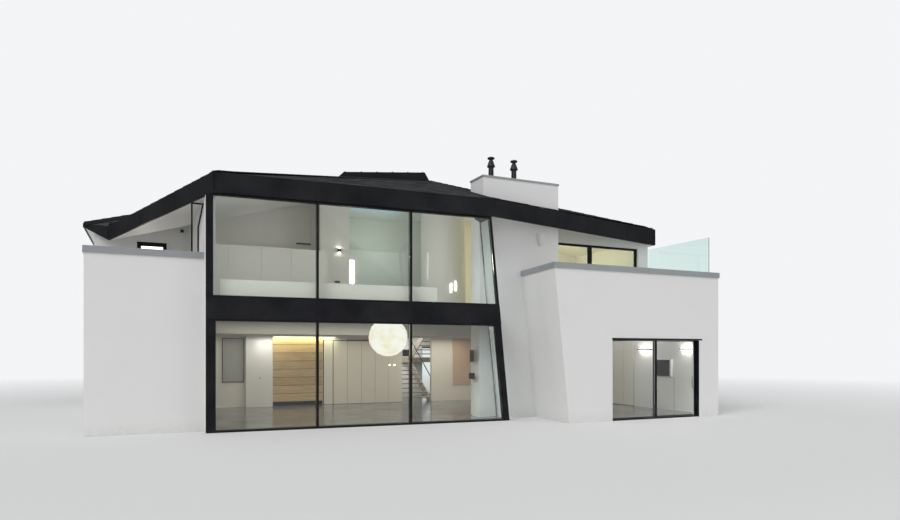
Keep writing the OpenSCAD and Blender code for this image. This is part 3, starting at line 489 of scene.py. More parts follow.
# %% Finishes on the frame's pieces
FINISHES = [
    (RENDER, ["left_front_wall", "left_side_wall", "terrace_back_wall", "box_side_wall",
              "back_wall", "right_side_wall", "upper_right_side_wall", "upper_window_wall",
              "wing_front_left", "wing_front_right", "wing_front_over", "wing_left_wall",
              "chimney_breast"]),
    (SOFFIT, ["roof_lining"]),
    (PLASTER, ["ground_ceiling", "ground_inner_wall", "upper_inner_walls", "curved_wall"]),
    (JOINERY, ["upper_joinery"]),
    (FLOOR, ["ground_floor", "upper_floor", "rear_floor"]),
    (COPING_METAL, ["chimney_coping", "parapet_copings"]),
    (SLATE, ["roof_slopes"]),
    (FASCIA_METAL, ["roof_fascia", "floor_band", "rooflight"]),
    (FRAME_METAL, ["lower_front_frame", "upper_front_frame", "door_frame", "window_frames",
                   "terrace_stays", "entrance_door", "fixed_door_leaf", "sliding_door_leaf",
                   "terrace_door"]),
    (GLASS, ["lower_front_glass", "upper_front_glass", "window_glass"]),
    (SCREEN, ["screen_glass"]),
    (FLUE_METAL, ["flue_cowls"]),
    (DARK_BOARDS, ["timber_panel"]),
    (STAIR_WOOD, ["stair"]),
    (LAMP_GLOW, ["globe_lamp"]),
]


def set_finish(piece, material):
    piece.data.materials.clear()
    piece.data.materials.append(material)


for material, names in FINISHES:
    for name in names:
        set_finish(nodes[name], material)
print("finished", sum(len(names) for _, names in FINISHES), "pieces of", len(nodes))

# %% [markdown]
# What repeats on a house could be copied by an Array modifier, but that gives every copy the same
# face. Geometry Nodes can give each its own turn and shade: one slate becomes a roof, one board
# becomes a wall of boards. Each tree below is built by a short function with named inputs. `grow`
# runs a tree once, keeps the mesh that comes out and throws the modifier away.

# %% Helpers for Geometry Nodes
def new_tree(name, inputs):
    """A Geometry Nodes tree with a Geometry input and output and the inputs that are given."""
    shape = ("Geometry", "Geometry")
    return new_group(name, "GeometryNodeTree", [shape, *inputs], [shape])


def end_tree(tree, given, result, shape):
    """Makes instances real and gives them their material, because the export drops instances."""
    real = add_node(tree, "GeometryNodeRealizeInstances", Geometry=shape)
    finish = add_node(tree, "GeometryNodeSetMaterial", Geometry=real.outputs[0],
                      Material=given["Material"])
    feed(tree, result["Geometry"], finish.outputs[0])


def random_value(tree, low, high, seed):
    """A random number or vector for each point, with a seed from the tree's inputs."""
    node = tree.nodes.new("FunctionNodeRandomValue")
    is_vector = isinstance(low, tuple)
    node.data_type = "FLOAT_VECTOR" if is_vector else "FLOAT"
    first = 0 if is_vector else 2
    node.inputs[first].default_value = low
    node.inputs[first + 1].default_value = high
    feed(tree, node.inputs["Seed"], seed)
    return node.outputs[first // 2]


print("helpers for trees ready")

# %% Helpers that grow copies
def place_copies(tree, given, result, points, copy, rotation=None):
    """Puts a copy on every point, gives each a random shade, and ends the tree."""
    instances = add_node(tree, "GeometryNodeInstanceOnPoints", Points=points, Instance=copy)
    if rotation is not None:
        feed(tree, instances.inputs["Rotation"], rotation)
    shade = add_node(tree, "GeometryNodeStoreNamedAttribute", Geometry=instances.outputs[0],
                     Name="shade")
    shade.data_type = "FLOAT"
    shade.domain = "INSTANCE"
    feed(tree, shade.inputs["Value"], random_value(tree, 0.0, 1.0, given["Seed"]))
    end_tree(tree, given, result, shade.outputs[0])


def grow(name, tree, values, start=None):
    """Runs a tree on a start mesh with named values, and returns a plain mesh."""
    holder = bpy.data.objects.new(name, start or bpy.data.meshes.new(name + "_start"))
    bpy.context.scene.collection.objects.link(holder)
    modifier = holder.modifiers.new("grow", "NODES")
    modifier.node_group = tree
    for item in tree.interface.items_tree:
        if item.in_out == "INPUT" and item.name in values:
            modifier[item.identifier] = values[item.name]
    graph = bpy.context.evaluated_depsgraph_get()
    mesh = bpy.data.meshes.new_from_object(holder.evaluated_get(graph),
                                           preserve_all_data_layers=True, depsgraph=graph)
    bpy.data.objects.remove(holder)
    return mesh


print("helpers for copies ready")

# %% [markdown]
# Pieces that don't repeat are blocks with softened edges. They could be cubes that are scaled by
# hand, but a piece should lie at the origin with its place in its mesh. So `add_blocks` builds the
# mesh with bmesh straight from corners on the plan, and several blocks make one piece.

# %% Helpers for plain pieces
def add_piece(name, mesh, body="house"):
    """Links a mesh as a piece that rides on a body of the frame."""
    piece = bpy.data.objects.new(name, mesh)
    bpy.context.scene.collection.objects.link(piece)
    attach(piece, body)
    return piece


def mesh_of(work, name, material):
    """Ends a bmesh: its faces become a mesh of one material."""
    mesh = bpy.data.meshes.new(name)
    work.to_mesh(mesh)
    work.free()
    mesh.materials.append(material)
    return mesh


def soften(mesh, width):
    """Bevels the sharp edges of a mesh, because real edges catch the light."""
    work = bmesh.new()
    work.from_mesh(mesh)
    sharp = [e for e in work.edges if len(e.link_faces) == 2 and e.calc_face_angle() > 0.6]
    bmesh.ops.bevel(work, geom=sharp, offset=width, segments=2, profile=0.7, affect="EDGES")
    work.to_mesh(mesh)
    work.free()


def add_blocks(name, material, boxes, bevel=0.004, body="house"):
    """One piece of several blocks, each given by its low and high corner on the plan."""
    work = bmesh.new()
    for low, high in boxes:
        size = Vector(high) - Vector(low)
        middle = (plan(*low) + plan(*high)) / 2
        place = Matrix.Translation(middle) @ Matrix.Diagonal((*size, 1.0))
        bmesh.ops.create_cube(work, size=1.0, matrix=place)
    mesh = mesh_of(work, name, material)
    if bevel:
        soften(mesh, bevel)
    return add_piece(name, mesh, body)


def join_meshes(name, material, meshes):
    """One mesh of many, with their attributes and one material."""
    work = bmesh.new()
    for mesh in meshes:
        work.from_mesh(mesh)
    return mesh_of(work, name, material)


print("helpers for pieces ready")

# %% [markdown]
# Two trees do most of the fine work. The first grows panels: a grid of equal blocks between two
# step vectors. Boards, pavers, cupboard doors and stair edges all come from it. The second sets a
# block at equal steps along a line and turns it with the line, as seams in sheet metal lie.

# %% Tree: panels
def build_panels():
    """Columns by rows of equal blocks."""
    tree, given, result = new_tree("panels", [
        ("Columns", "Int"), ("Rows", "Int"), ("Start", "Vector"), ("Column step", "Vector"),
        ("Row step", "Vector"), ("Block", "Vector"), ("Seed", "Int"), ("Material", "Material")])
    across = add_node(tree, "GeometryNodeMeshLine", Count=given["Columns"],
                      Start_Location=given["Start"], Offset=given["Column step"])
    up = add_node(tree, "GeometryNodeMeshLine", Count=given["Rows"], Offset=given["Row step"])
    grid = add_node(tree, "GeometryNodeInstanceOnPoints", Points=across.outputs[0],
                    Instance=up.outputs[0])
    points = add_node(tree, "GeometryNodeRealizeInstances", Geometry=grid.outputs[0])
    block = add_node(tree, "GeometryNodeMeshCube", Size=given["Block"])
    place_copies(tree, given, result, points.outputs[0], block.outputs[0])
    return tree


PANELS = build_panels()
print("tree", PANELS.name, "built")


# %% Tree: seams
def build_seams():
    """Blocks at equal steps along the lines of the start mesh."""
    tree, given, result = new_tree("seams", [
        ("Pitch", "Float"), ("Block", "Vector"), ("Seed", "Int"), ("Material", "Material")])
    curve = add_node(tree, "GeometryNodeMeshToCurve", Mesh=given["Geometry"])
    points = add_node(tree, "GeometryNodeCurveToPoints", Curve=curve.outputs[0])
    points.mode = "LENGTH"
    feed(tree, points.inputs["Length"], given["Pitch"])
    turn = add_node(tree, "FunctionNodeAlignRotationToVector", Vector=points.outputs["Tangent"])
    turn.axis = "X"
    turn.pivot_axis = "Z"
    block = add_node(tree, "GeometryNodeMeshCube", Size=given["Block"])
    place_copies(tree, given, result, points.outputs[0], block.outputs[0], turn.outputs[0])
    return tree


SEAMS = build_seams()
print("tree", SEAMS.name, "built")


# %% Helpers for panels and lines
def add_panels(name, material, start, columns, column_step, rows, row_step, block, seed, bevel=0.003):
    """A piece of columns by rows of blocks, from the middle of the first block on the plan."""
    mesh = grow(name, PANELS, {
        "Columns": columns, "Rows": rows, "Start": tuple(plan(*start)), "Column step": column_step,
        "Row step": row_step, "Block": block, "Seed": seed, "Material": material})
    if bevel:
        soften(mesh, bevel)
    return add_piece(name, mesh)


def line_mesh(name, lines):
    """A start mesh of separate lines, each a list of points."""
    mesh = bpy.data.meshes.new(name)
    points = [point for line in lines for point in line]
    edges = []
    first = 0
    for line in lines:
        edges += [(first + i, first + i + 1) for i in range(len(line) - 1)]
        first += len(line)
    mesh.from_pydata(points, edges, [])
    return mesh


print("helpers for panels ready")

# %% [markdown]
# The roof is folded from flat facets, and each is slated in level courses. A bump pattern would
# leave the eaves a straight line, so every slate is a real block. The tree makes a grid of slates
# in a flat frame, shifts every second course by half a slate and tilts each slate so that its foot
# lies on the one below.

# %% Tree: slate courses
# The least and the most that a slate is out of place, and out of true about each axis
SLATE_SHIFT = (-0.004, -0.005, 0.0), (0.004, 0.005, 0.002)
SLATE_LEAN = (-0.006, -0.008, -0.010), (0.006, 0.008, 0.010)


def build_slates():
    tree, given, result = new_tree("slates", [
        ("Columns", "Int"), ("Courses", "Int"), ("Slate width", "Float"), ("Exposure", "Float"),
        ("Slate", "Vector"), ("Tilt", "Float"), ("Seed", "Int"), ("Material", "Material")])
    wide = math_node(tree, "MULTIPLY", math_node(tree, "SUBTRACT", given["Columns"], 1.0),
                     given["Slate width"])
    high = math_node(tree, "MULTIPLY", math_node(tree, "SUBTRACT", given["Courses"], 1.0),
                     given["Exposure"])
    grid = add_node(tree, "GeometryNodeMeshGrid", Size_X=wide, Size_Y=high,
                    Vertices_X=given["Columns"], Vertices_Y=given["Courses"])
    place = tree.nodes.new("GeometryNodeInputPosition").outputs[0]
    up = add_node(tree, "ShaderNodeSeparateXYZ", Vector=place).outputs["Y"]
    from_foot = math_node(tree, "ADD", up, math_node(tree, "MULTIPLY", high, 0.5))
    course = math_node(tree, "ROUND", math_node(tree, "DIVIDE", from_foot, given["Exposure"]))
    half = math_node(tree, "MULTIPLY", math_node(tree, "MODULO", course, 2.0),
                     math_node(tree, "MULTIPLY", given["Slate width"], 0.5))
    shift = add_node(tree, "ShaderNodeCombineXYZ", X=half)
    uneven = random_value(tree, *SLATE_SHIFT, given["Seed"])
    offset = vector_math(tree, "ADD", shift.outputs[0], uneven)
    shifted = add_node(tree, "GeometryNodeSetPosition", Geometry=grid.outputs[0], Offset=offset)
    slate = add_node(tree, "GeometryNodeMeshCube", Size=given["Slate"])
    lean = random_value(tree, *SLATE_LEAN, given["Seed"])
    tilt = add_node(tree, "ShaderNodeCombineXYZ", X=given["Tilt"])
    turn = vector_math(tree, "ADD", tilt.outputs[0], lean)
    place_copies(tree, given, result, shifted.outputs[0], slate.outputs[0], turn)
    return tree


SLATES = build_slates()
print("tree", SLATES.name, "built")

# %% [markdown]
# The tree knows nothing of this roof. Its facets could be typed in as corners, but they are read
# from the frame's top faces instead, so the slates follow the roof when a size changes. A facet's
# edge that a second facet has too is a hip or a valley, and any other is an eave.

# %% Facets of the roof
NEAR = 0.02
UPWARD = 0.3


def roof_facets():
    """Each facet as its normal and its corners anticlockwise, from the frame's top faces."""
    mesh = nodes["roof_slopes"].data
    groups = {}
    for face in mesh.polygons:
        if face.normal.z > UPWARD:
            key = tuple(round(v, 2) for v in (*face.normal, face.normal.dot(face.center)))
            groups.setdefault(key, []).extend(face.vertices)
    facets = []
    for key, found in groups.items():
        normal = Vector(key[:3]).normalized()
        points = [mesh.vertices[i].co.copy() for i in set(found)]
        hull = convex_hull_2d([p.xy for p in points])
        facets.append((normal, [points[i] for i in hull]))
    return facets


def is_shared(a, b, facets):
    """True if two facets have this edge, so that it is a hip or a valley and not an eave."""
    def has(corners, p):
        return any((p - q).length < NEAR for q in corners)
    return sum(has(corners, a) and has(corners, b) for _, corners in facets) > 1


facets = roof_facets()
print("roof facets", len(facets))

# %% [markdown]
# A slater cuts the last slates of a course to the line of the hip. Here each facet gets a grid
# that is larger than it. A Boolean could trim it, but that is slow on so many thin blocks. Cuts
# along planes are quick, and exact at hips and valleys. At the eaves the slates reach a little past
# the fascia, so that rain drips clear of it.

# %% Grids of slates
EAVES_REACH = 0.05
SLATE_W, SLATE_EXPOSURE, SLATE_LENGTH, SLATE_T = 0.30, 0.24, 0.34, 0.012
SLATE_GAP = 0.006
GRID_LIFT = 1.3 * SLATE_T
STACK_LOW, STACK_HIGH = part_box("chimney_breast")


def lay_grid(number, normal, corners):
    """A grid of slates that covers one facet and lies on it."""
    along = Vector((-normal.y, normal.x, 0)).normalized()
    up = normal.cross(along)
    xs = [c.dot(along) for c in corners]
    ys = [c.dot(up) for c in corners]
    foot = min(ys) - EAVES_REACH
    columns = int((max(xs) - min(xs)) / SLATE_W) + 4
    courses = int((max(ys) - foot) / SLATE_EXPOSURE) + 2
    mesh = grow("slates_%d" % number, SLATES, {
        "Columns": columns, "Courses": courses, "Slate width": SLATE_W,
        "Exposure": SLATE_EXPOSURE, "Slate": (SLATE_W - SLATE_GAP, SLATE_LENGTH, SLATE_T),
        "Tilt": -math.atan(SLATE_T / SLATE_EXPOSURE), "Seed": number, "Material": SLATE})
    middle_x = (max(xs) + min(xs)) / 2
    middle_y = foot + SLATE_LENGTH / 2 + (courses - 1) * SLATE_EXPOSURE / 2
    height = corners[0].dot(normal) + GRID_LIFT
    turn = Matrix((along, up, normal)).transposed().to_4x4()
    mesh.transform(Matrix.Translation(middle_x * along + middle_y * up + height * normal) @ turn)
    return mesh


print("slates of", SLATE_W, "by", SLATE_LENGTH, "m, of which", SLATE_EXPOSURE, "m shows")

# %% Cut the slates along the facets
def cut_outside(work, place, outward):
    bmesh.ops.bisect_plane(work, geom=work.verts[:] + work.edges[:] + work.faces[:],
                           plane_co=place, plane_no=outward, clear_outer=True)


def trim_to_facet(mesh, corners):
    """Cuts a grid along its facet's edges and corners, and drops what the chimney hides."""
    work = bmesh.new()
    work.from_mesh(mesh)
    middle = sum(corners, Vector()) / len(corners)
    ways = []
    for i, a in enumerate(corners):
        b = corners[(i + 1) % len(corners)]
        outward = (b - a).cross(Vector((0, 0, 1))).normalized()
        if outward.dot(middle - a) > 0:
            outward.negate()
        ways.append(outward)
        cut_outside(work, a + outward * (0.0 if is_shared(a, b, facets) else EAVES_REACH), outward)
    for i, a in enumerate(corners):
        outward = (ways[i - 1] + ways[i]).normalized()
        cut_outside(work, a + outward * EAVES_REACH, outward)
    hidden = [f for f in work.faces if all(STACK_LOW[i] < f.calc_center_median()[i] < STACK_HIGH[i]
                                           for i in (0, 1))]
    bmesh.ops.delete(work, geom=hidden, context="FACES")
    work.to_mesh(mesh)
    work.free()


print("slates end", EAVES_REACH, "m past the eaves")

# %% Lay the slates
courses = [lay_grid(i, *facet) for i, facet in enumerate(facets)]
for grid, facet in zip(courses, facets):
    trim_to_facet(grid, facet[1])
slates = add_piece("roof_slates", join_meshes("roof_slates", SLATE, courses))
print("slate faces", len(slates.data.polygons))

# %% [markdown]
# Folded metal strips cover the hips, the ridge and the valley, where the cut slates meet. A curve
# with a bevel could draw them, but a fold lies flat on both facets only if its section follows
# their normals. So the section is six points, and drawing it at both ends of the edge gives all
# faces of the strip.

# %% Cappings on the hips and the ridge
CAPPING_W, CAPPING_LIFT, CAPPING_T = 0.14, 0.034, 0.010


def shared_edges(facets):
    """Each edge that two facets have, with both facets' normals and the ways into them."""
    sides = []
    for normal, corners in facets:
        middle = sum(corners, Vector()) / len(corners)
        for i, a in enumerate(corners):
            b = corners[(i + 1) % len(corners)]
            inward = normal.cross(b - a).normalized()
            if inward.dot(middle - a) < 0:
                inward.negate()
            sides.append((a, b, normal, inward))
    pairs = []
    for i, (a, b, normal, inward) in enumerate(sides):
        for c, d, other, other_in in sides[i + 1:]:
            if ((a + b) - (c + d)).length < 2 * NEAR:
                pairs.append((a, b, ((normal, inward), (other, other_in))))
    return pairs


def folded_strip(work, a, b, sides):
    crest = (sides[0][0] + sides[1][0]).normalized()
    section = []
    for lift in (CAPPING_LIFT, CAPPING_LIFT + CAPPING_T):
        wings = [inward * CAPPING_W + normal * lift for normal, inward in sides]
        section += [wings[0], crest * lift, wings[1]]
    first = [work.verts.new(a + p) for p in section]
    last = [work.verts.new(b + p) for p in section]
    for i, j in ((0, 1), (1, 2), (2, 5), (5, 4), (4, 3), (3, 0)):
        work.faces.new((first[i], first[j], last[j], last[i]))
    for ring in (first, last):
        work.faces.new((ring[0], ring[1], ring[4], ring[3]))
        work.faces.new((ring[1], ring[2], ring[5], ring[4]))


print("hips, ridges and valleys", len(shared_edges(facets)))

# %% Add the cappings
def add_cappings():
    work = bmesh.new()
    for a, b, sides in shared_edges(facets):
        folded_strip(work, a, b, sides)
    bmesh.ops.recalc_face_normals(work, faces=work.faces)
    return add_piece("roof_cappings", mesh_of(work, "roof_cappings", FASCIA_METAL))


cappings = add_cappings()
print("capping faces", len(cappings.data.polygons))

# %% [markdown]
# Sheet metal comes in lengths, so the fascia and the copings have a joint every metre or two. A
# joint could be a dark line in the material, but a real cover strip also shows in the outline. The
# seams tree walks along a line and sets a strip at each step. One line lies half-way up each outer
# face of the fascia, found in the frame, and one through the middle of each coping.

# %% Joints in the sheet metal
FASCIA_PITCH, COPING_PITCH = 1.5, 1.8
COVER_W, COVER_T, COVER_SHORT = 0.05, 0.008, 0.012
STRAP = (0.09, 0.368, 0.178)
# The left wing's side and front, then the right wing's front and side
COPING_LINES = (((0.15, 6.6), (0.15, 2.9)), ((0.6, 2.59), (2.7, 2.59)),
                ((13.4, 0.15), (18.2, 0.15)), ((18.61, 0.8), (18.61, 3.1)))


def fascia_lines():
    """A line half-way up each outer face of the fascia, with the face's depth."""
    mesh = nodes["roof_fascia"].data
    middle = sum((v.co for v in mesh.vertices), Vector()) / len(mesh.vertices)
    faces = {}
    for face in mesh.polygons:
        if abs(face.normal.z) < 0.01 and face.normal.dot(face.center - middle) > 0:
            key = tuple(round(v, 2) for v in face.normal)
            faces.setdefault(key, []).extend(mesh.vertices[i].co.copy() for i in face.vertices)
    lines = []
    for points in faces.values():
        ends = {}
        for p in points:
            ends.setdefault((round(p.x, 2), round(p.y, 2)), []).append(p)
        heights = [(min(p.z for p in end), max(p.z for p in end)) for end in ends.values()]
        line = [Vector((x, y, sum(z) / 2)) for (x, y), z in zip(ends, heights)]
        lines.append((line, min(high - low for low, high in heights)))
    return lines


print("fascia faces", len(fascia_lines()))

# %% Add the joints
def grow_seams(name, lines, pitch, block, material):
    return grow(name, SEAMS, {"Pitch": pitch, "Block": block, "Seed": 3, "Material": material},
                line_mesh(name, lines))


def add_seams():
    covers = [grow_seams("fascia_seam", [line], FASCIA_PITCH,
                         (COVER_W, COVER_T, depth - COVER_SHORT), FASCIA_METAL)
              for line, depth in fascia_lines()]
    add_piece("fascia_seams", join_meshes("fascia_seams", FASCIA_METAL, covers))
    low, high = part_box("parapet_copings")
    lines = [[plan(x, y, (low.z + high.z) / 2) for x, y in line] for line in COPING_LINES]
    straps = grow_seams("coping_straps", lines, COPING_PITCH, STRAP, COPING_METAL)
    add_piece("coping_straps", straps)


add_seams()
print("seams every", FASCIA_PITCH, "and", COPING_PITCH, "m")

# %% [markdown]
# The roof terraces behind the parapets are paved with square slabs on pads, with a gap between
# neighbours for the water. A drawn grid on one sheet would do from far off, but from above the
# gaps need depth. The same panels tree lays them, from a short table of terraces.

# %% Terrace slabs
TERRACE_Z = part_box("upper_floor")[1].z
SLAB_T, SLAB_GAP = 0.03, 0.008
# Piece, middle of its first slab, slabs across and deep, pitch across and deep, seed
TERRACES = (("left_terrace_slabs", (0.64, 3.08), (4, 6), (0.615, 0.68), 11),
            ("right_terrace_slabs", (13.36, 0.68), (8, 3), (0.67, 0.66), 12),
            ("window_terrace_slabs", (14.36, 2.74), (6, 1), (0.70, 0.808), 13))

for name, first, (across, deep), (pitch_x, pitch_y), seed in TERRACES:
    add_panels(name, PAVER, (*first, TERRACE_Z + SLAB_T / 2), across, (pitch_x, 0, 0),
               deep, (0, pitch_y, 0), (pitch_x - SLAB_GAP, pitch_y - SLAB_GAP, SLAB_T), seed)
print("terraces", len(TERRACES), "at", round(TERRACE_Z, 3), "m")

# %% [markdown]
# Round things are turned. They could be stacked from cylinders and cones, but one outline of radii
# and heights, spun about an upright axis as on a lathe, gives a closed solid without inner walls.
# Each flue cowl has a base ring, a pipe with a band, a cone and a cap. The wall lamp beside the
# glazed front is a bowl that is half sunk in the wall.

# %% Helper for turned pieces
def turned_mesh(place, profile, material, sides=32):
    """A closed round solid from a list of radii and heights above a place of the plan."""
    work = bmesh.new()
    centre = plan(*place)
    ways = [(math.cos(math.tau * k / sides), math.sin(math.tau * k / sides)) for k in range(sides)]
    rings = [[work.verts.new(centre + Vector((radius * x, radius * y, height))) for x, y in ways]
             for radius, height in profile]
    for low, high in zip(rings, rings[1:]):
        for k in range(sides):
            j = (k + 1) % sides
            work.faces.new((low[k], low[j], high[j], high[k]))
    work.faces.new(list(reversed(rings[0])))
    work.faces.new(rings[-1])
    mesh = mesh_of(work, "turned", material)
    soften(mesh, 0.003)
    return mesh


print("helper for turned pieces ready")

# %% Flue cowls and wall lamp
COWL = [(0.120, 0.0), (0.120, 0.012), (0.084, 0.016), (0.084, 0.20), (0.089, 0.205), (0.089, 0.225),
        (0.084, 0.23), (0.084, 0.405), (0.130, 0.410), (0.130, 0.435), (0.068, 0.610),
        (0.057, 0.622), (0.057, 0.664), (0.112, 0.668), (0.118, 0.690), (0.112, 0.712),
        (0.060, 0.735), (0.010, 0.742)]
FLUE_LOW, FLUE_HIGH = (corner - plan(0, 0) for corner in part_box("flue_cowls"))
COWL_IN = 0.1275
FLUE_X = (FLUE_LOW.x + COWL_IN, FLUE_HIGH.x - COWL_IN)
FLUE_Y = (FLUE_LOW.y + FLUE_HIGH.y) / 2
STACK_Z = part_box("chimney_coping")[1].z

LAMP_AT = (13.26, 2.345, 5.62)
LAMP_BOWL = [(0.04, 0.0), (0.07, 0.02), (0.10, 0.12), (0.13, 0.25), (0.155, 0.37), (0.15, 0.385)]

cowls = [turned_mesh((x, FLUE_Y, STACK_Z), COWL, FLUE_METAL) for x in FLUE_X]
flues = add_piece("turned_flue_cowls", join_meshes("turned_flue_cowls", FLUE_METAL, cowls))
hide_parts("flue_cowls")
bowl = turned_mesh(LAMP_AT, LAMP_BOWL, SOFFIT)
add_piece("front_wall_lamp", join_meshes("front_wall_lamp", SOFFIT, [bowl]))
print("turned pieces", len(COWL), "points in a cowl's outline")

# %% [markdown]
# The sliding door's glass runs almost to the edges of its opening. Its frame is a thin dark lining,
# and only the two stiles that meet in the middle are broad. The frame's plain leaves could be kept,
# but their stiles are all equally broad, so finer ones replace them. The sliding leaf rides on its
# own body, and so do its glass and its pull.

# %% Helpers for leaves and pulls
DOOR_X0, DOOR_X1, DOOR_Z = 14.37, 17.91, 2.50
LINING, MEETING_STILE, EDGE = 0.015, 0.09, 0.02
LINING_Y0, LINING_Y1, SILL_Z = 0.06, 0.184, 0.04
LEAF_T, PANE_IN = 0.05, 0.013
FIXED_Y, SLIDING_Y = 0.068, 0.126
HEAD_Z = DOOR_Z - LINING
PULL_STAND = 0.024


def door_leaf(name, x0, x1, y0, z0, z1, left, right, node, body):
    """A leaf of four bars round one sheet of glass, in place of a leaf of the frame."""
    y1 = y0 + LEAF_T
    bars = add_blocks(name, FRAME_METAL, [
        ((x0, y0, z0), (x0 + left, y1, z1)), ((x1 - right, y0, z0), (x1, y1, z1)),
        ((x0 + left, y0, z0), (x1 - right, y1, z0 + EDGE)),
        ((x0 + left, y0, z1 - EDGE), (x1 - right, y1, z1))], 0.003, body)
    glass = add_blocks(name + "_glass", GLASS, [
        ((x0 + left, y0 + PANE_IN, z0 + EDGE), (x1 - right, y1 - PANE_IN, z1 - EDGE))], 0.0, body)
    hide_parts(node)


def add_pull(name, x, y, low, high, thick, inset, bevel, body="house"):
    """An upright pull whose two short stands start from a face that looks to the back."""
    bar = y + PULL_STAND
    blocks = [((x, bar, low), (x + thick, bar + thick, high))]
    for z in (low + inset, high - inset - thick):
        blocks.append(((x, y, z), (x + thick, bar, z + thick)))
    add_blocks(name, HARDWARE, blocks, bevel, body)


print("leaves", round(SLIDING_Y - FIXED_Y - LEAF_T, 3), "m apart")

# %% Hang the sliding door
lining = add_blocks("garden_door_lining", FRAME_METAL, [
    ((DOOR_X0, LINING_Y0, 0.0), (DOOR_X1, LINING_Y1, SILL_Z)),
    ((DOOR_X0, LINING_Y0, HEAD_Z), (DOOR_X1, LINING_Y1, DOOR_Z)),
    ((DOOR_X0, LINING_Y0, SILL_Z), (DOOR_X0 + LINING, LINING_Y1, HEAD_Z)),
    ((DOOR_X1 - 0.05, 0.12, SILL_Z), (DOOR_X1, LINING_Y1, HEAD_Z)),
    ((DOOR_X1 - LINING, 0.004, 0.0), (DOOR_X1, 0.12, HEAD_Z)),
    ((DOOR_X0 - 0.02, -0.012, DOOR_Z), (DOOR_X1 + 0.12, 0.01, DOOR_Z + 0.045))], 0.003)
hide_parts("door_frame")
door_leaf("fixed_leaf", DOOR_X0 + LINING, 16.185, FIXED_Y, 0.05, HEAD_Z, EDGE / 2,
          MEETING_STILE, "fixed_door_leaf", "house")
door_leaf("sliding_leaf", 16.095, 17.842, SLIDING_Y, 0.058, HEAD_Z - 0.008,
          MEETING_STILE, EDGE / 2, "sliding_door_leaf", "door_leaf")
add_pull("door_pull", 17.79, SLIDING_Y + LEAF_T, 0.92, 1.32, 0.022, 0.03, 0.004, "door_leaf")
print("sliding door", round(DOOR_X1 - DOOR_X0, 2), "by", DOOR_Z, "m")

# %% [markdown]
# The room behind the lower glass has a timber panel of long boards, washed by a lamp slot above
# it, a run of tall cupboard doors and a white box in the wall. Joints could be drawn as lines in
# the material. Boards and doors with real gaps, over a dark ground, catch the light on their edges.

# %% Ground storey's back wall
WALL_Y = 9.58
TIMBER_Y = 9.54
CEILING_Z = 2.72
FLOOR_Z = 0.06
BOARD_H, BOARD_GAP, BOARD_T, BOARDS_Z = 0.3125, 0.022, 0.018, 0.22
WHITE_BOX = (4.87, 5.86, 0.18)
CUPBOARD_T, CUPBOARD_GROUND_T = 0.022, 0.012
CUPBOARD_Y = WALL_Y - CUPBOARD_GROUND_T


def on_wall(x0, x1, z0, z1, depth, wall=WALL_Y):
    """The corners of a block that stands out by its depth from a wall facing the front."""
    return (x0, wall - depth, z0), (x1, wall, z1)


boards = add_panels("timber_boards", TIMBER, (6.83, TIMBER_Y - BOARD_T / 2, BOARDS_Z + BOARD_H / 2),
                    1, (1, 0, 0), 8, (0, 0, BOARD_H), (1.94, BOARD_T, BOARD_H - BOARD_GAP), 21)
add_blocks("timber_skirting", FRAME_METAL, [on_wall(5.86, 7.80, FLOOR_Z, 0.216, 0.012, TIMBER_Y)])
add_blocks("white_wall_box", SOFFIT, [
    on_wall(WHITE_BOX[0], WHITE_BOX[1], FLOOR_Z, CEILING_Z, WHITE_BOX[2])], 0.006)
add_blocks("light_switch", HARDWARE, [
    on_wall(5.35, 5.43, 1.11, 1.19, 0.008, WALL_Y - WHITE_BOX[2])], 0.002)
add_blocks("cupboard_ground", FRAME_METAL, [
    on_wall(7.83, 11.15, FLOOR_Z, 2.60, CUPBOARD_GROUND_T)], 0.0)
narrow = add_blocks("narrow_door", JOINERY, [
    on_wall(7.86, 8.22, 0.07, 2.585, 0.023, CUPBOARD_Y)], 0.003)
doors = add_panels("cupboard_doors", JOINERY, (8.535, CUPBOARD_Y - CUPBOARD_T / 2, 1.32), 5,
                   (0.58, 0, 0), 1, (0, 0, 1), (0.57, CUPBOARD_T, 2.50), 22)
print("board height", BOARD_H, "m")

# %% [markdown]
# Flat things hang on that wall or are let into it: a blank panel in a thin dark frame, a warm darker
# panel, two small spots and the slot of the wall wash. The warm darker panel is painted shade that
# stands for a partition wall in shade, which is not built. They could be planes, but blocks stand out
# from the wall and throw a thin shadow on it. The lit ones have an emissive finish.

# %% Panels and lamps on the back wall
def framed_panel(name, material, low, high, border=0.022, depth=0.03):
    """A flat blank panel on the back wall, inside a thin dark frame."""
    (x0, z0), (x1, z1) = low, high
    add_blocks(name, material, [on_wall(x0, x1, z0, z1, depth - 0.008)], 0.002)
    add_blocks(name + "_frame", FRAME_METAL, [
        on_wall(x0 - border, x0, z0 - border, z1 + border, depth),
        on_wall(x1, x1 + border, z0 - border, z1 + border, depth),
        on_wall(x0, x1, z0 - border, z0, depth), on_wall(x0, x1, z1, z1 + border, depth)], 0.002)


framed_panel("blank_panel", CANVAS, (4.07, 1.02), (4.81, 2.62))
# Painted shade: a brown strip stands for the shadow gap over the cupboard doors, dark with a little
# warm light in it; no gap is cut.
add_blocks("cupboard_gap_shade_strip", TREAD_EDGE, [on_wall(8.81, 9.80, 2.58, 2.625, 0.04)])
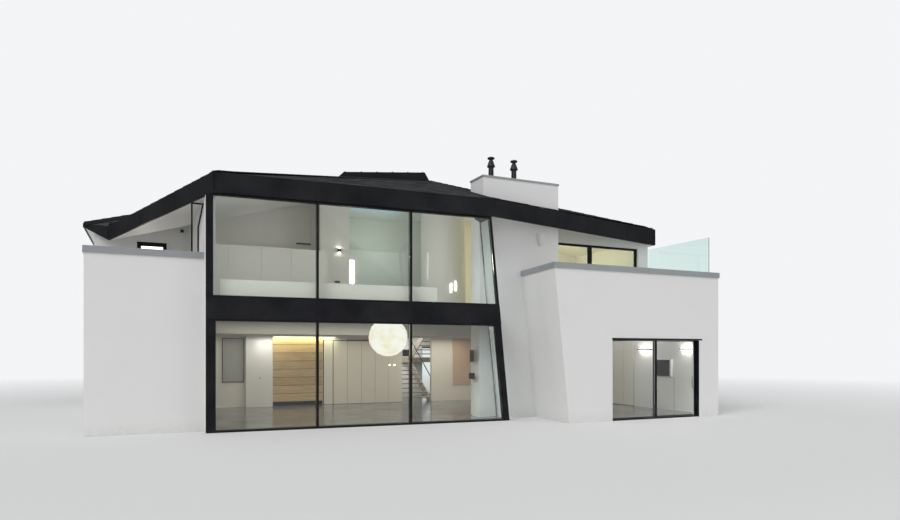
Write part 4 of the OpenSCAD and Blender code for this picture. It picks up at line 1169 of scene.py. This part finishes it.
# Painted shade: a darker panel on the back wall in place of a partition wall in shade.
add_blocks("partition_shade_panel", PARTITION_SHADE_PAINT, [on_wall(13.48, 14.6, 0.70, CEILING_Z - 0.02, 0.03)])
add_blocks("twin_spots", SPOT_GLOW, [
    on_wall(x, x + 0.05, 1.58, 1.62, 0.006, CUPBOARD_Y - CUPBOARD_T) for x in (10.57, 10.79)], 0.002)
add_blocks("wall_wash_slot", COVE_GLOW, [
    on_wall(5.9, 8.30, CEILING_Z - 0.015, CEILING_Z, 0.05, 9.49)], 0.002)
print("back wall at", WALL_Y, "m")

# %% [markdown]
# Through the stair's doorway show the treads with their brown edges, a handrail and a dark panel
# behind. The edges could be one long strip bent up each flight, but each tread has its own. So they
# are a column of panels whose row step goes back and up at once. The rails are curves with a bevel.

# %% Sizes of the stair and a helper for tubes
TREAD_GO, RISE = 0.27, 0.18316
LOWER_TREADS, UPPER_TREADS = 9, 8
STAIR_X, STAIR_W, STAIR_Y = 11.17, 1.33, 9.73
TREAD_EDGE_SIZE = (STAIR_W, 0.012, 0.042)
LANDING_Y = STAIR_Y + LOWER_TREADS * TREAD_GO
LANDING_Z = FLOOR_Z + (LOWER_TREADS + 1) * RISE
RAIL_R = 0.02


def tube_mesh(points, radius, sides=12):
    """A round bar along straight stretches between places of the plan."""
    curve = bpy.data.curves.new("tube", "CURVE")
    curve.dimensions = "3D"
    curve.bevel_depth = radius
    curve.bevel_resolution = sides // 4
    curve.use_fill_caps = True
    line = curve.splines.new("POLY")
    line.points.add(len(points) - 1)
    for point, place in zip(line.points, points):
        point.co = (*plan(*place), 1.0)
    holder = bpy.data.objects.new("tube", curve)
    mesh = bpy.data.meshes.new_from_object(holder)
    bpy.data.objects.remove(holder)
    return mesh


print("landing at", round(LANDING_Z, 3), "m")

# %% Tread edges, rails and panels
add_panels("lower_tread_edges", TREAD_EDGE,
           (STAIR_X + STAIR_W / 2, STAIR_Y - 0.045, FLOOR_Z + RISE - 0.02), 1, (1, 0, 0),
           LOWER_TREADS, (0, TREAD_GO, RISE), TREAD_EDGE_SIZE, 31)
add_panels("upper_tread_edges", TREAD_EDGE,
           (STAIR_X + STAIR_W * 1.5 + 0.06, LANDING_Y - TREAD_GO - 0.005, LANDING_Z + RISE - 0.02),
           1, (1, 0, 0), UPPER_TREADS, (0, -TREAD_GO, RISE), TREAD_EDGE_SIZE, 32)
RAIL_X = STAIR_X + STAIR_W + 0.03
RAIL_FOOT, RAIL_BACK = STAIR_Y + 0.05, LANDING_Y - 0.05
rail_turn = (RAIL_X, RAIL_BACK, LANDING_Z + 0.85)
rails = [[(RAIL_X, RAIL_FOOT, 1.1), rail_turn, (RAIL_X, STAIR_Y + 0.6, 4.1)],
         [(RAIL_X, RAIL_FOOT, 0.08), (RAIL_X, RAIL_FOOT, 1.1)],
         [(RAIL_X, RAIL_BACK, LANDING_Z), rail_turn]]
add_piece("stair_rails", join_meshes("stair_rails", FRAME_METAL,
                                     [tube_mesh(points, RAIL_R) for points in rails]))
add_blocks("stair_panel", BLACK_GLOSS, [on_wall(12.60, 12.98, 1.95, 2.26, 0.03, 13.28)])
add_blocks("breast_panels", BLACK_GLOSS, [((10.845, 2.42, 1.80), (10.86, 2.72, 2.18)),
                                          ((10.845, 2.40, 1.26), (10.86, 2.78, 1.45))])
print("tread edges", LOWER_TREADS + UPPER_TREADS)

# %% [markdown]
# Small lamps light the walls. Each is a dark body that throws light up and down through two lenses.
# Spot lights could paint the pools of light, but emissive lenses close to the wall make them by
# themselves, with the body's shadow between them.

# %% Wall lamps
SIDE_X = 18.46
LENS_IN, LENS_T = 0.02, 0.005


def add_wall_lamp(name, place, reach, tall, half, along_y=True):
    """A lamp on a wall, with a lens above and one below its dark body."""
    x, y, z = place
    x0, x1 = (x - reach, x) if along_y else (x - half, x + half)
    y0, y1 = (y - half, y + half) if along_y else (y - reach, y)
    add_blocks(name, FRAME_METAL, [((x0, y0, z - tall), (x1, y1, z + tall))], 0.004)
    low, high = (x0 + LENS_IN, y0 + LENS_IN), (x1 - LENS_IN, y1 - LENS_IN)
    add_blocks(name + "_lenses", LENS_GLOW, [
        ((*low, z + tall), (*high, z + tall + LENS_T)),
        ((*low, z - tall - LENS_T), (*high, z - tall))], 0.0)


for number, y in enumerate((3.16, 1.01)):
    add_wall_lamp("wing_lamp_%d" % number, (SIDE_X, y, 2.22), 0.14, 0.030, 0.31)
add_wall_lamp("pier_lamp", (7.34, 5.50, 5.52), 0.09, 0.06, 0.055, along_y=False)
print("lamps at", SIDE_X, "m")

# %% [markdown]
# The wing's room has flat cupboards on its side wall, a dark screen with a pale edge, and a door
# that shows only as one joint and a knob. The cupboards could be boxes that are placed one by one,
# but they are the panels tree again, whose row step runs along Y here.

# %% Wing room
WING_GROUND_T, WING_DOOR_T = 0.008, 0.018


def on_side(y0, y1, z0, z1, depth, wall=SIDE_X):
    """The corners of a block that stands out by its depth from the wing's side wall."""
    return (wall - depth, y0, z0), (wall, y1, z1)


add_blocks("wing_cupboard_ground", FRAME_METAL, [
    on_side(3.83, 7.43, FLOOR_Z, 2.58, WING_GROUND_T)], 0.0)
wing_doors = add_panels("wing_cupboards", JOINERY,
                        (SIDE_X - WING_GROUND_T - WING_DOOR_T / 2, 4.13, 1.32), 1, (1, 0, 0),
                        6, (0, 0.6, 0), (WING_DOOR_T, 0.582, 2.48), 41)
add_blocks("wing_door_joint", FRAME_METAL, [on_side(1.713, 1.723, FLOOR_Z, 1.20, 0.004)], 0.0)
add_blocks("wall_screen", BLACK_GLOSS, [on_side(1.87, 2.57, 1.26, 1.84, 0.03, 18.45)], 0.004)
add_blocks("screen_edge", SOFFIT, [on_side(1.79, 1.868, 1.24, 1.86, 0.07)], 0.004)
add_blocks("door_knob", HARDWARE, [on_side(0.83, 0.89, 1.06, 1.12, 0.05)], 0.02)
print("wing cupboards at", SIDE_X, "m")

# %% [markdown]
# Upstairs, doors cover the low cabinets behind the glass. A narrow dark vent lies in the wall over
# them, and small lamps and lit strips stand on the curved wall and in the passage. The pale blue
# field in the ceiling is the well under the rooflight, painted as light: a faintly glowing sheet
# that stands for the sky's light coming down through it. Its corners could be typed in, but the
# ceiling slopes: a ray straight up finds its underside, so the field follows it.

# %% Sizes and helpers upstairs
UPPER_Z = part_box("upper_floor")[1].z
CABINET_JOINTS = (3.08, 3.67, 4.64, 5.55, 6.68)
CABINET_Y = 4.58
WELL_PLAN = ((7.95, 6.0), (9.95, 6.2), (9.88, 6.88), (7.95, 6.78))
WELL_DROP = Vector((0, 0, 0.03))
CEILING_TREE = BVHTree.FromPolygons([v.co for v in nodes["roof_lining"].data.vertices],
                                    [p.vertices for p in nodes["roof_lining"].data.polygons])


def under_ceiling(x, y):
    """The place of the sloping ceiling's underside above a place of the plan."""
    return CEILING_TREE.ray_cast(plan(x, y, 5.0), Vector((0, 0, 1)))[0]


def add_sheet(name, material, corners, thickness):
    """A flat sheet with the given corners on top."""
    work = bmesh.new()
    normal = (corners[1] - corners[0]).cross(corners[2] - corners[0]).normalized()
    if normal.z < 0:
        normal.negate()
    top = [work.verts.new(c) for c in corners]
    low = [work.verts.new(c - normal * thickness) for c in corners]
    for i in range(len(corners)):
        work.faces.new((top[i - 1], top[i], low[i], low[i - 1]))
    work.faces.new(top)
    work.faces.new(low)
    bmesh.ops.recalc_face_normals(work, faces=work.faces)
    return add_piece(name, mesh_of(work, name, material))


print("upper floor at", round(UPPER_Z, 3), "m")

# %% Upper storey
cabinet_doors = add_blocks("upper_cabinet_doors", JOINERY, [
    on_wall(a + 0.004, b - 0.004, UPPER_Z + 0.06, UPPER_Z + 1.78, CUPBOARD_T, CABINET_Y)
    for a, b in zip(CABINET_JOINTS, CABINET_JOINTS[1:])], 0.003)
add_blocks("wall_vent", FRAME_METAL, [on_wall(6.20, 6.70, 5.86, 5.92, 0.012, 6.88)])
add_blocks("curved_wall_lamps", SPOT_GLOW, [((10.81, 4.07, 4.14), (10.85, 4.11, 4.44)),
                                            ((10.99, 4.07, 4.20), (11.03, 4.12, 4.52))], 0.01)
add_blocks("passage_light", SPOT_GLOW, [on_wall(8.27, 8.46, 4.66, 5.50, 0.02, 7.49)], 0.01)
add_blocks("curved_wall_strip", SOFT_GLOW, [on_wall(10.14, 10.19, 4.60, 5.50, 0.07, 4.60)], 0.01)
add_blocks("pier_handle", FRAME_METAL, [on_wall(7.19, 7.36, 4.44, 4.50, 0.04, 5.50)], 0.012)
# Painted light: a faintly glowing sheet stands for the sky's light in the rooflight well.
add_sheet("skylight_glow_sheet", SKY_GLOW, [under_ceiling(x, y) - WELL_DROP for x, y in WELL_PLAN], 0.01)
print("ceiling over the middle", round(under_ceiling(8.5, 6.0).z, 2), "m")

# %% [markdown]
# The rooflight behind the ridge gets a glass top between six thin bars. Its upstand slopes a little
# from end to end. Bars that were turned blocks would leave gaps at their ends, so each is a sheet
# whose corners lie on that slope.

# %% Rooflight
LANTERN_LOW, LANTERN_HIGH = (corner - plan(0, 0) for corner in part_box("rooflight"))
LANTERN_X0, LANTERN_X1 = LANTERN_LOW.x + 0.30, LANTERN_HIGH.x - 0.20
LANTERN_SLOPE, LANTERN_IN = 0.107, 0.04
BARS, BAR_W = 6, 0.04
BAR_STEP = (LANTERN_X1 - LANTERN_X0 - 3 * BAR_W) / (BARS - 1)


def lantern_sheet(name, material, x0, x1, lift, thickness):
    """A sheet on the rooflight's slope between two places along it."""
    y0, y1 = LANTERN_LOW.y + LANTERN_IN, LANTERN_HIGH.y - LANTERN_IN
    return add_sheet(name, material, [
        plan(x, y, LANTERN_HIGH.z + (x - LANTERN_X1) * LANTERN_SLOPE + lift)
        for x, y in ((x0, y0), (x1, y0), (x1, y1), (x0, y1))], thickness)


lantern_sheet("rooflight_pane", BLACK_GLOSS, LANTERN_X0 + BAR_W / 2, LANTERN_X1 - BAR_W / 2,
              0.010, 0.010)
for i in range(BARS):
    x = LANTERN_X0 + BAR_W + i * BAR_STEP
    lantern_sheet("rooflight_bar_%d" % i, FASCIA_METAL, x, x + BAR_W, 0.026, 0.02)
print("rooflight top at", round(LANTERN_HIGH.z, 3), "m")

# %% [markdown]
# The last outside pieces are small. The glass screen stands in a metal shoe, and the back windows
# have sills. The upper door's casing covers the joint with the wall. A bright room could be built
# behind it, but only a glow shows from the ground, so a glowing sheet fills the doorway: painted
# light that stands for the lit room behind. The entrance door at the back is faced with upright
# boards, from the panels tree.

# %% Outside fittings
PARAPET_Z = 4.755
SILL_W, SILL_AT = 2.4, (2.2, 7.9, 13.6)
UPPER_WALL_Y = 6.88
CASING_HEAD = 5.47
JAMBS = ((1.20, 1.23, 1.32), (2.06, 2.03, 1.95))
ENTRANCE_Y = 13.506

add_blocks("screen_shoe", COPING_METAL, [
    ((18.588, 0.27, PARAPET_Z), (18.656, 3.20, PARAPET_Z + 0.045))], 0.004)
add_blocks("back_sills", COPING_METAL, [
    ((x, 13.50, 4.386), (x + SILL_W, 13.62, 4.402)) for x in SILL_AT], 0.004)
casing_blocks = [on_wall(1.20, 2.06, CASING_HEAD, 5.60, 0.018, UPPER_WALL_Y),
                 ((1.23, UPPER_WALL_Y, CASING_HEAD), (2.03, 7.0, 5.50)),
                 ((1.32, UPPER_WALL_Y, UPPER_Z), (1.95, 7.0, UPPER_Z + 0.06))]
for outer, edge, inner in JAMBS:
    face, reveal = sorted((outer, inner)), sorted((edge, inner))
    casing_blocks += [on_wall(*face, UPPER_Z + 0.04, CASING_HEAD, 0.018, UPPER_WALL_Y),
                      on_wall(*reveal, UPPER_Z, CASING_HEAD, 0.12, 7.0)]
casing = add_blocks("terrace_door_casing", FRAME_METAL, casing_blocks, 0.003)
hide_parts("terrace_door")
# Painted light: a glowing sheet in the doorway stands for the lit room behind the upper door.
add_blocks("terrace_door_glow_sheet", COVE_GLOW, [
    on_wall(1.32, 1.95, UPPER_Z + 0.06, CASING_HEAD, 0.02, 6.92)], 0.0)
add_blocks("terrace_lamp", FLUE_METAL, [on_wall(2.47, 2.57, 5.98, 6.07, 0.08, UPPER_WALL_Y)], 0.02)
entrance = add_panels("entrance_boards", DARK_BOARDS, (5.834, ENTRANCE_Y + 0.006, 1.17), 9,
                      (0.129, 0, 0), 1, (0, 0, 1), (0.123, 0.012, 2.29), 51)
add_pull("entrance_pull", 6.80, ENTRANCE_Y + 0.010, 0.85, 1.55, 0.025, 0.07, 0.005)
print("entrance boards at", ENTRANCE_Y, "m")

# %% [markdown]
# The globe lamp is paper on a wire frame, so its surface is creased. A sculpted ball could show
# that, but a rule does it as well: a Geometry Nodes tree takes a fine ball and pushes each point in
# by a cell pattern, which leaves soft dents with sharp ridges between them.

# %% Globe lamp
def build_crumpled_ball():
    tree, given, result = new_tree("crumpled_ball", [
        ("Radius", "Float"), ("Centre", "Vector"), ("Cell size", "Float"), ("Dent", "Float"),
        ("Seed", "Float"), ("Material", "Material")])
    ball = add_node(tree, "GeometryNodeMeshIcoSphere", Radius=given["Radius"], Subdivisions=6)
    place = tree.nodes.new("GeometryNodeInputPosition").outputs[0]
    cells = add_node(tree, "ShaderNodeTexVoronoi", Scale=given["Cell size"],
                     Vector=vector_math(tree, "ADD", place, given["Seed"]))
    depth = math_node(tree, "MULTIPLY", cells.outputs["Distance"], given["Dent"])
    push = vector_math(tree, "SCALE", vector_math(tree, "NORMALIZE", place),
                       math_node(tree, "MULTIPLY", depth, -1.0))
    dented = add_node(tree, "GeometryNodeSetPosition", Geometry=ball.outputs[0], Offset=push)
    moved = add_node(tree, "GeometryNodeTransform", Geometry=dented.outputs[0],
                     Translation=given["Centre"])
    smooth = add_node(tree, "GeometryNodeSetShadeSmooth", Geometry=moved.outputs[0])
    end_tree(tree, given, result, smooth.outputs[0])
    return tree


GLOBE_LOW, GLOBE_HIGH = (corner - plan(0, 0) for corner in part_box("globe_lamp"))
GLOBE_R = (GLOBE_HIGH.x - GLOBE_LOW.x) / 2
GLOBE_AT = (GLOBE_LOW.x + GLOBE_R, GLOBE_LOW.y + GLOBE_R, GLOBE_LOW.z + GLOBE_R)

ball = grow("paper_globe", build_crumpled_ball(), {
    "Radius": GLOBE_R, "Centre": tuple(plan(*GLOBE_AT)), "Cell size": 9.0, "Dent": 0.03, "Seed": 4.0,
    "Material": LAMP_GLOW})
stem = tube_mesh([(*GLOBE_AT[:2], GLOBE_HIGH.z), (*GLOBE_AT[:2], GLOBE_AT[2] + GLOBE_R - 0.02)], 0.012)
globe = add_piece("paper_globe", join_meshes("paper_globe", LAMP_GLOW, [ball]))
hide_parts("globe_lamp")
add_piece("globe_stem", join_meshes("globe_stem", HARDWARE, [stem]))
print("globe", round(2 * GLOBE_R, 2), "m across,", len(globe.data.polygons), "faces")

# %% [markdown]
# The studio is a pale floor and a pale sky. What the camera sees is nearly white, what lights the
# house is weaker, so white walls keep their shade, and what mirrors in glass and metal is weaker
# still, so the rooms stay readable. One sky can't be all three, but Light Path tells these rays
# apart. Far out the floor melts into that sky.

# %% Sky
SKY_SEEN, SKY_LIGHT, SKY_MIRRORED = 0.92, 0.55, 0.28
SKY_COLOUR = rgba(0.98, 0.99, 1.0)


def sky_strength(tree):
    """The sky's strength for the kind of ray that meets it."""
    path = tree.nodes.new("ShaderNodeLightPath").outputs
    seen = math_node(tree, "MAXIMUM", path["Is Camera Ray"], path["Is Transmission Ray"])
    mirrored = spread(tree, path["Is Glossy Ray"], 0.0, 1.0, SKY_LIGHT, SKY_MIRRORED)
    return spread(tree, seen, 0.0, 1.0, mirrored, SKY_SEEN)


def make_world():
    world = bpy.data.worlds.new("studio")
    bpy.context.scene.world = world
    world.use_nodes = True
    back = world.node_tree.nodes["Background"]
    feed(world.node_tree, back.inputs["Strength"], sky_strength(world.node_tree))
    back.inputs["Color"].default_value = SKY_COLOUR


make_world()
print("sky strengths", SKY_SEEN, SKY_LIGHT, SKY_MIRRORED)


# %% Floor
def make_floor(reach=400.0, plain=16.0, melted=45.0):
    """A wide floor whose colour turns into the sky's between two distances from the house."""
    mesh = bpy.data.meshes.new("studio_floor")
    corners = [(-reach, -reach), (reach, -reach), (reach, reach), (-reach, reach)]
    mesh.from_pydata([(x, y, -0.002) for x, y in corners], [], [(0, 1, 2, 3)])
    floor = bpy.data.objects.new("studio_floor", mesh)
    bpy.context.scene.collection.objects.link(floor)
    material = new_material("studio_floor", Base_Color=rgba(0.80, 0.80, 0.80), Roughness=0.95)
    tree = material.node_tree
    share = spread(tree, vector_math(tree, "LENGTH", object_place(tree)), plain, melted)
    glow = add_node(tree, "ShaderNodeEmission", Color=SKY_COLOUR, Strength=sky_strength(tree))
    mix = tree.nodes.new("ShaderNodeMixShader")
    for i, value in enumerate((share, tree.nodes["Principled BSDF"].outputs[0], glow.outputs[0])):
        feed(tree, mix.inputs[i], value)
    feed(tree, tree.nodes["Material Output"].inputs["Surface"], mix.outputs[0])
    mesh.materials.append(material)


make_floor()
bpy.context.scene.view_settings.view_transform = "Standard"
print("floor laid")

# %% [markdown]
# Two soft suns model the outside, one strong from the left and one weak from the right. The rooms
# have lights of their own. Those that stand for lit ceilings are flat, and the others are soft
# balls, because a flat light shows its edge on a near wall. None of them may show in the glass.

# %% Helpers for lights
def make_sun(name, turn, strength, angle):
    data = bpy.data.lights.new(name, "SUN")
    data.energy = strength
    data.angle = math.radians(angle)
    lamp = bpy.data.objects.new(name, data)
    lamp.rotation_euler = [math.radians(a) for a in turn]
    bpy.context.scene.collection.objects.link(lamp)


def make_room_light(name, watts, colour, low, high=None):
    """A flat light between two corners of the plan, or a soft ball at one place."""
    data = bpy.data.lights.new(name, "AREA" if high else "POINT")
    if high:
        data.shape = "RECTANGLE"
        data.size = high[0] - low[0]
        data.size_y = high[1] - low[1]
    else:
        data.shadow_soft_size = 0.4
    data.energy = watts
    data.color = colour
    lamp = bpy.data.objects.new(name, data)
    lamp.location = (plan(*low) + plan(*(high or low))) / 2
    lamp.visible_camera = lamp.visible_glossy = lamp.visible_transmission = False
    bpy.context.scene.collection.objects.link(lamp)


print("helpers for lights ready")

# %% Switch the lights on
make_sun("key", (50, 0, -60), 1.1, 25)
make_sun("fill", (60, 0, 35), 0.35, 60)
WARM, YELLOW = (1.0, 0.90, 0.74), (1.0, 0.92, 0.55)
NEUTRAL, GREEN = (1.0, 0.96, 0.92), (0.82, 1.0, 0.88)
ROOM_LIGHTS = [
    ("hall", 50, WARM, (3.4, 6.8, 2.68), (10.8, 9.2, 2.68)),
    ("hall_right", 50, WARM, (11.2, 6.6, 2.68), (14.0, 9.2, 2.68)),
    ("board_wash", 26, YELLOW, (5.9, 9.44, 2.69), (8.3, 9.49, 2.69)),
    ("box_wash", 8, NEUTRAL, (5.3, 8.80, 2.69), (5.9, 9.10, 2.69)),
    ("front", 70, WARM, (3.6, 3.2, 3.1), (10.0, 6.0, 3.1)),
    ("stair_top", 60, NEUTRAL, (11.4, 10.2, 2.9), (13.7, 12.8, 2.9)),
    ("stair_low", 30, NEUTRAL, (11.3, 12.3, 1.6), (12.4, 13.2, 1.6)),
    ("wing", 90, NEUTRAL, (14.2, 0.8, 3.1), (18.2, 8.8, 3.1)),
    ("upper_left", 13, NEUTRAL, (4.7, 2.7, 5.0)),
    ("upper_back", 5, NEUTRAL, (4.7, 5.6, 5.8)),
    ("upper_middle", 48, NEUTRAL, (8.6, 2.7, 5.2)),
    ("passage", 24, GREEN, (9.2, 6.2, 5.9)),
    ("upper_right", 150, YELLOW, (15.4, 5.4, 5.0)),
]
for light in ROOM_LIGHTS:
    make_room_light(*light)
print("room lights", len(ROOM_LIGHTS))
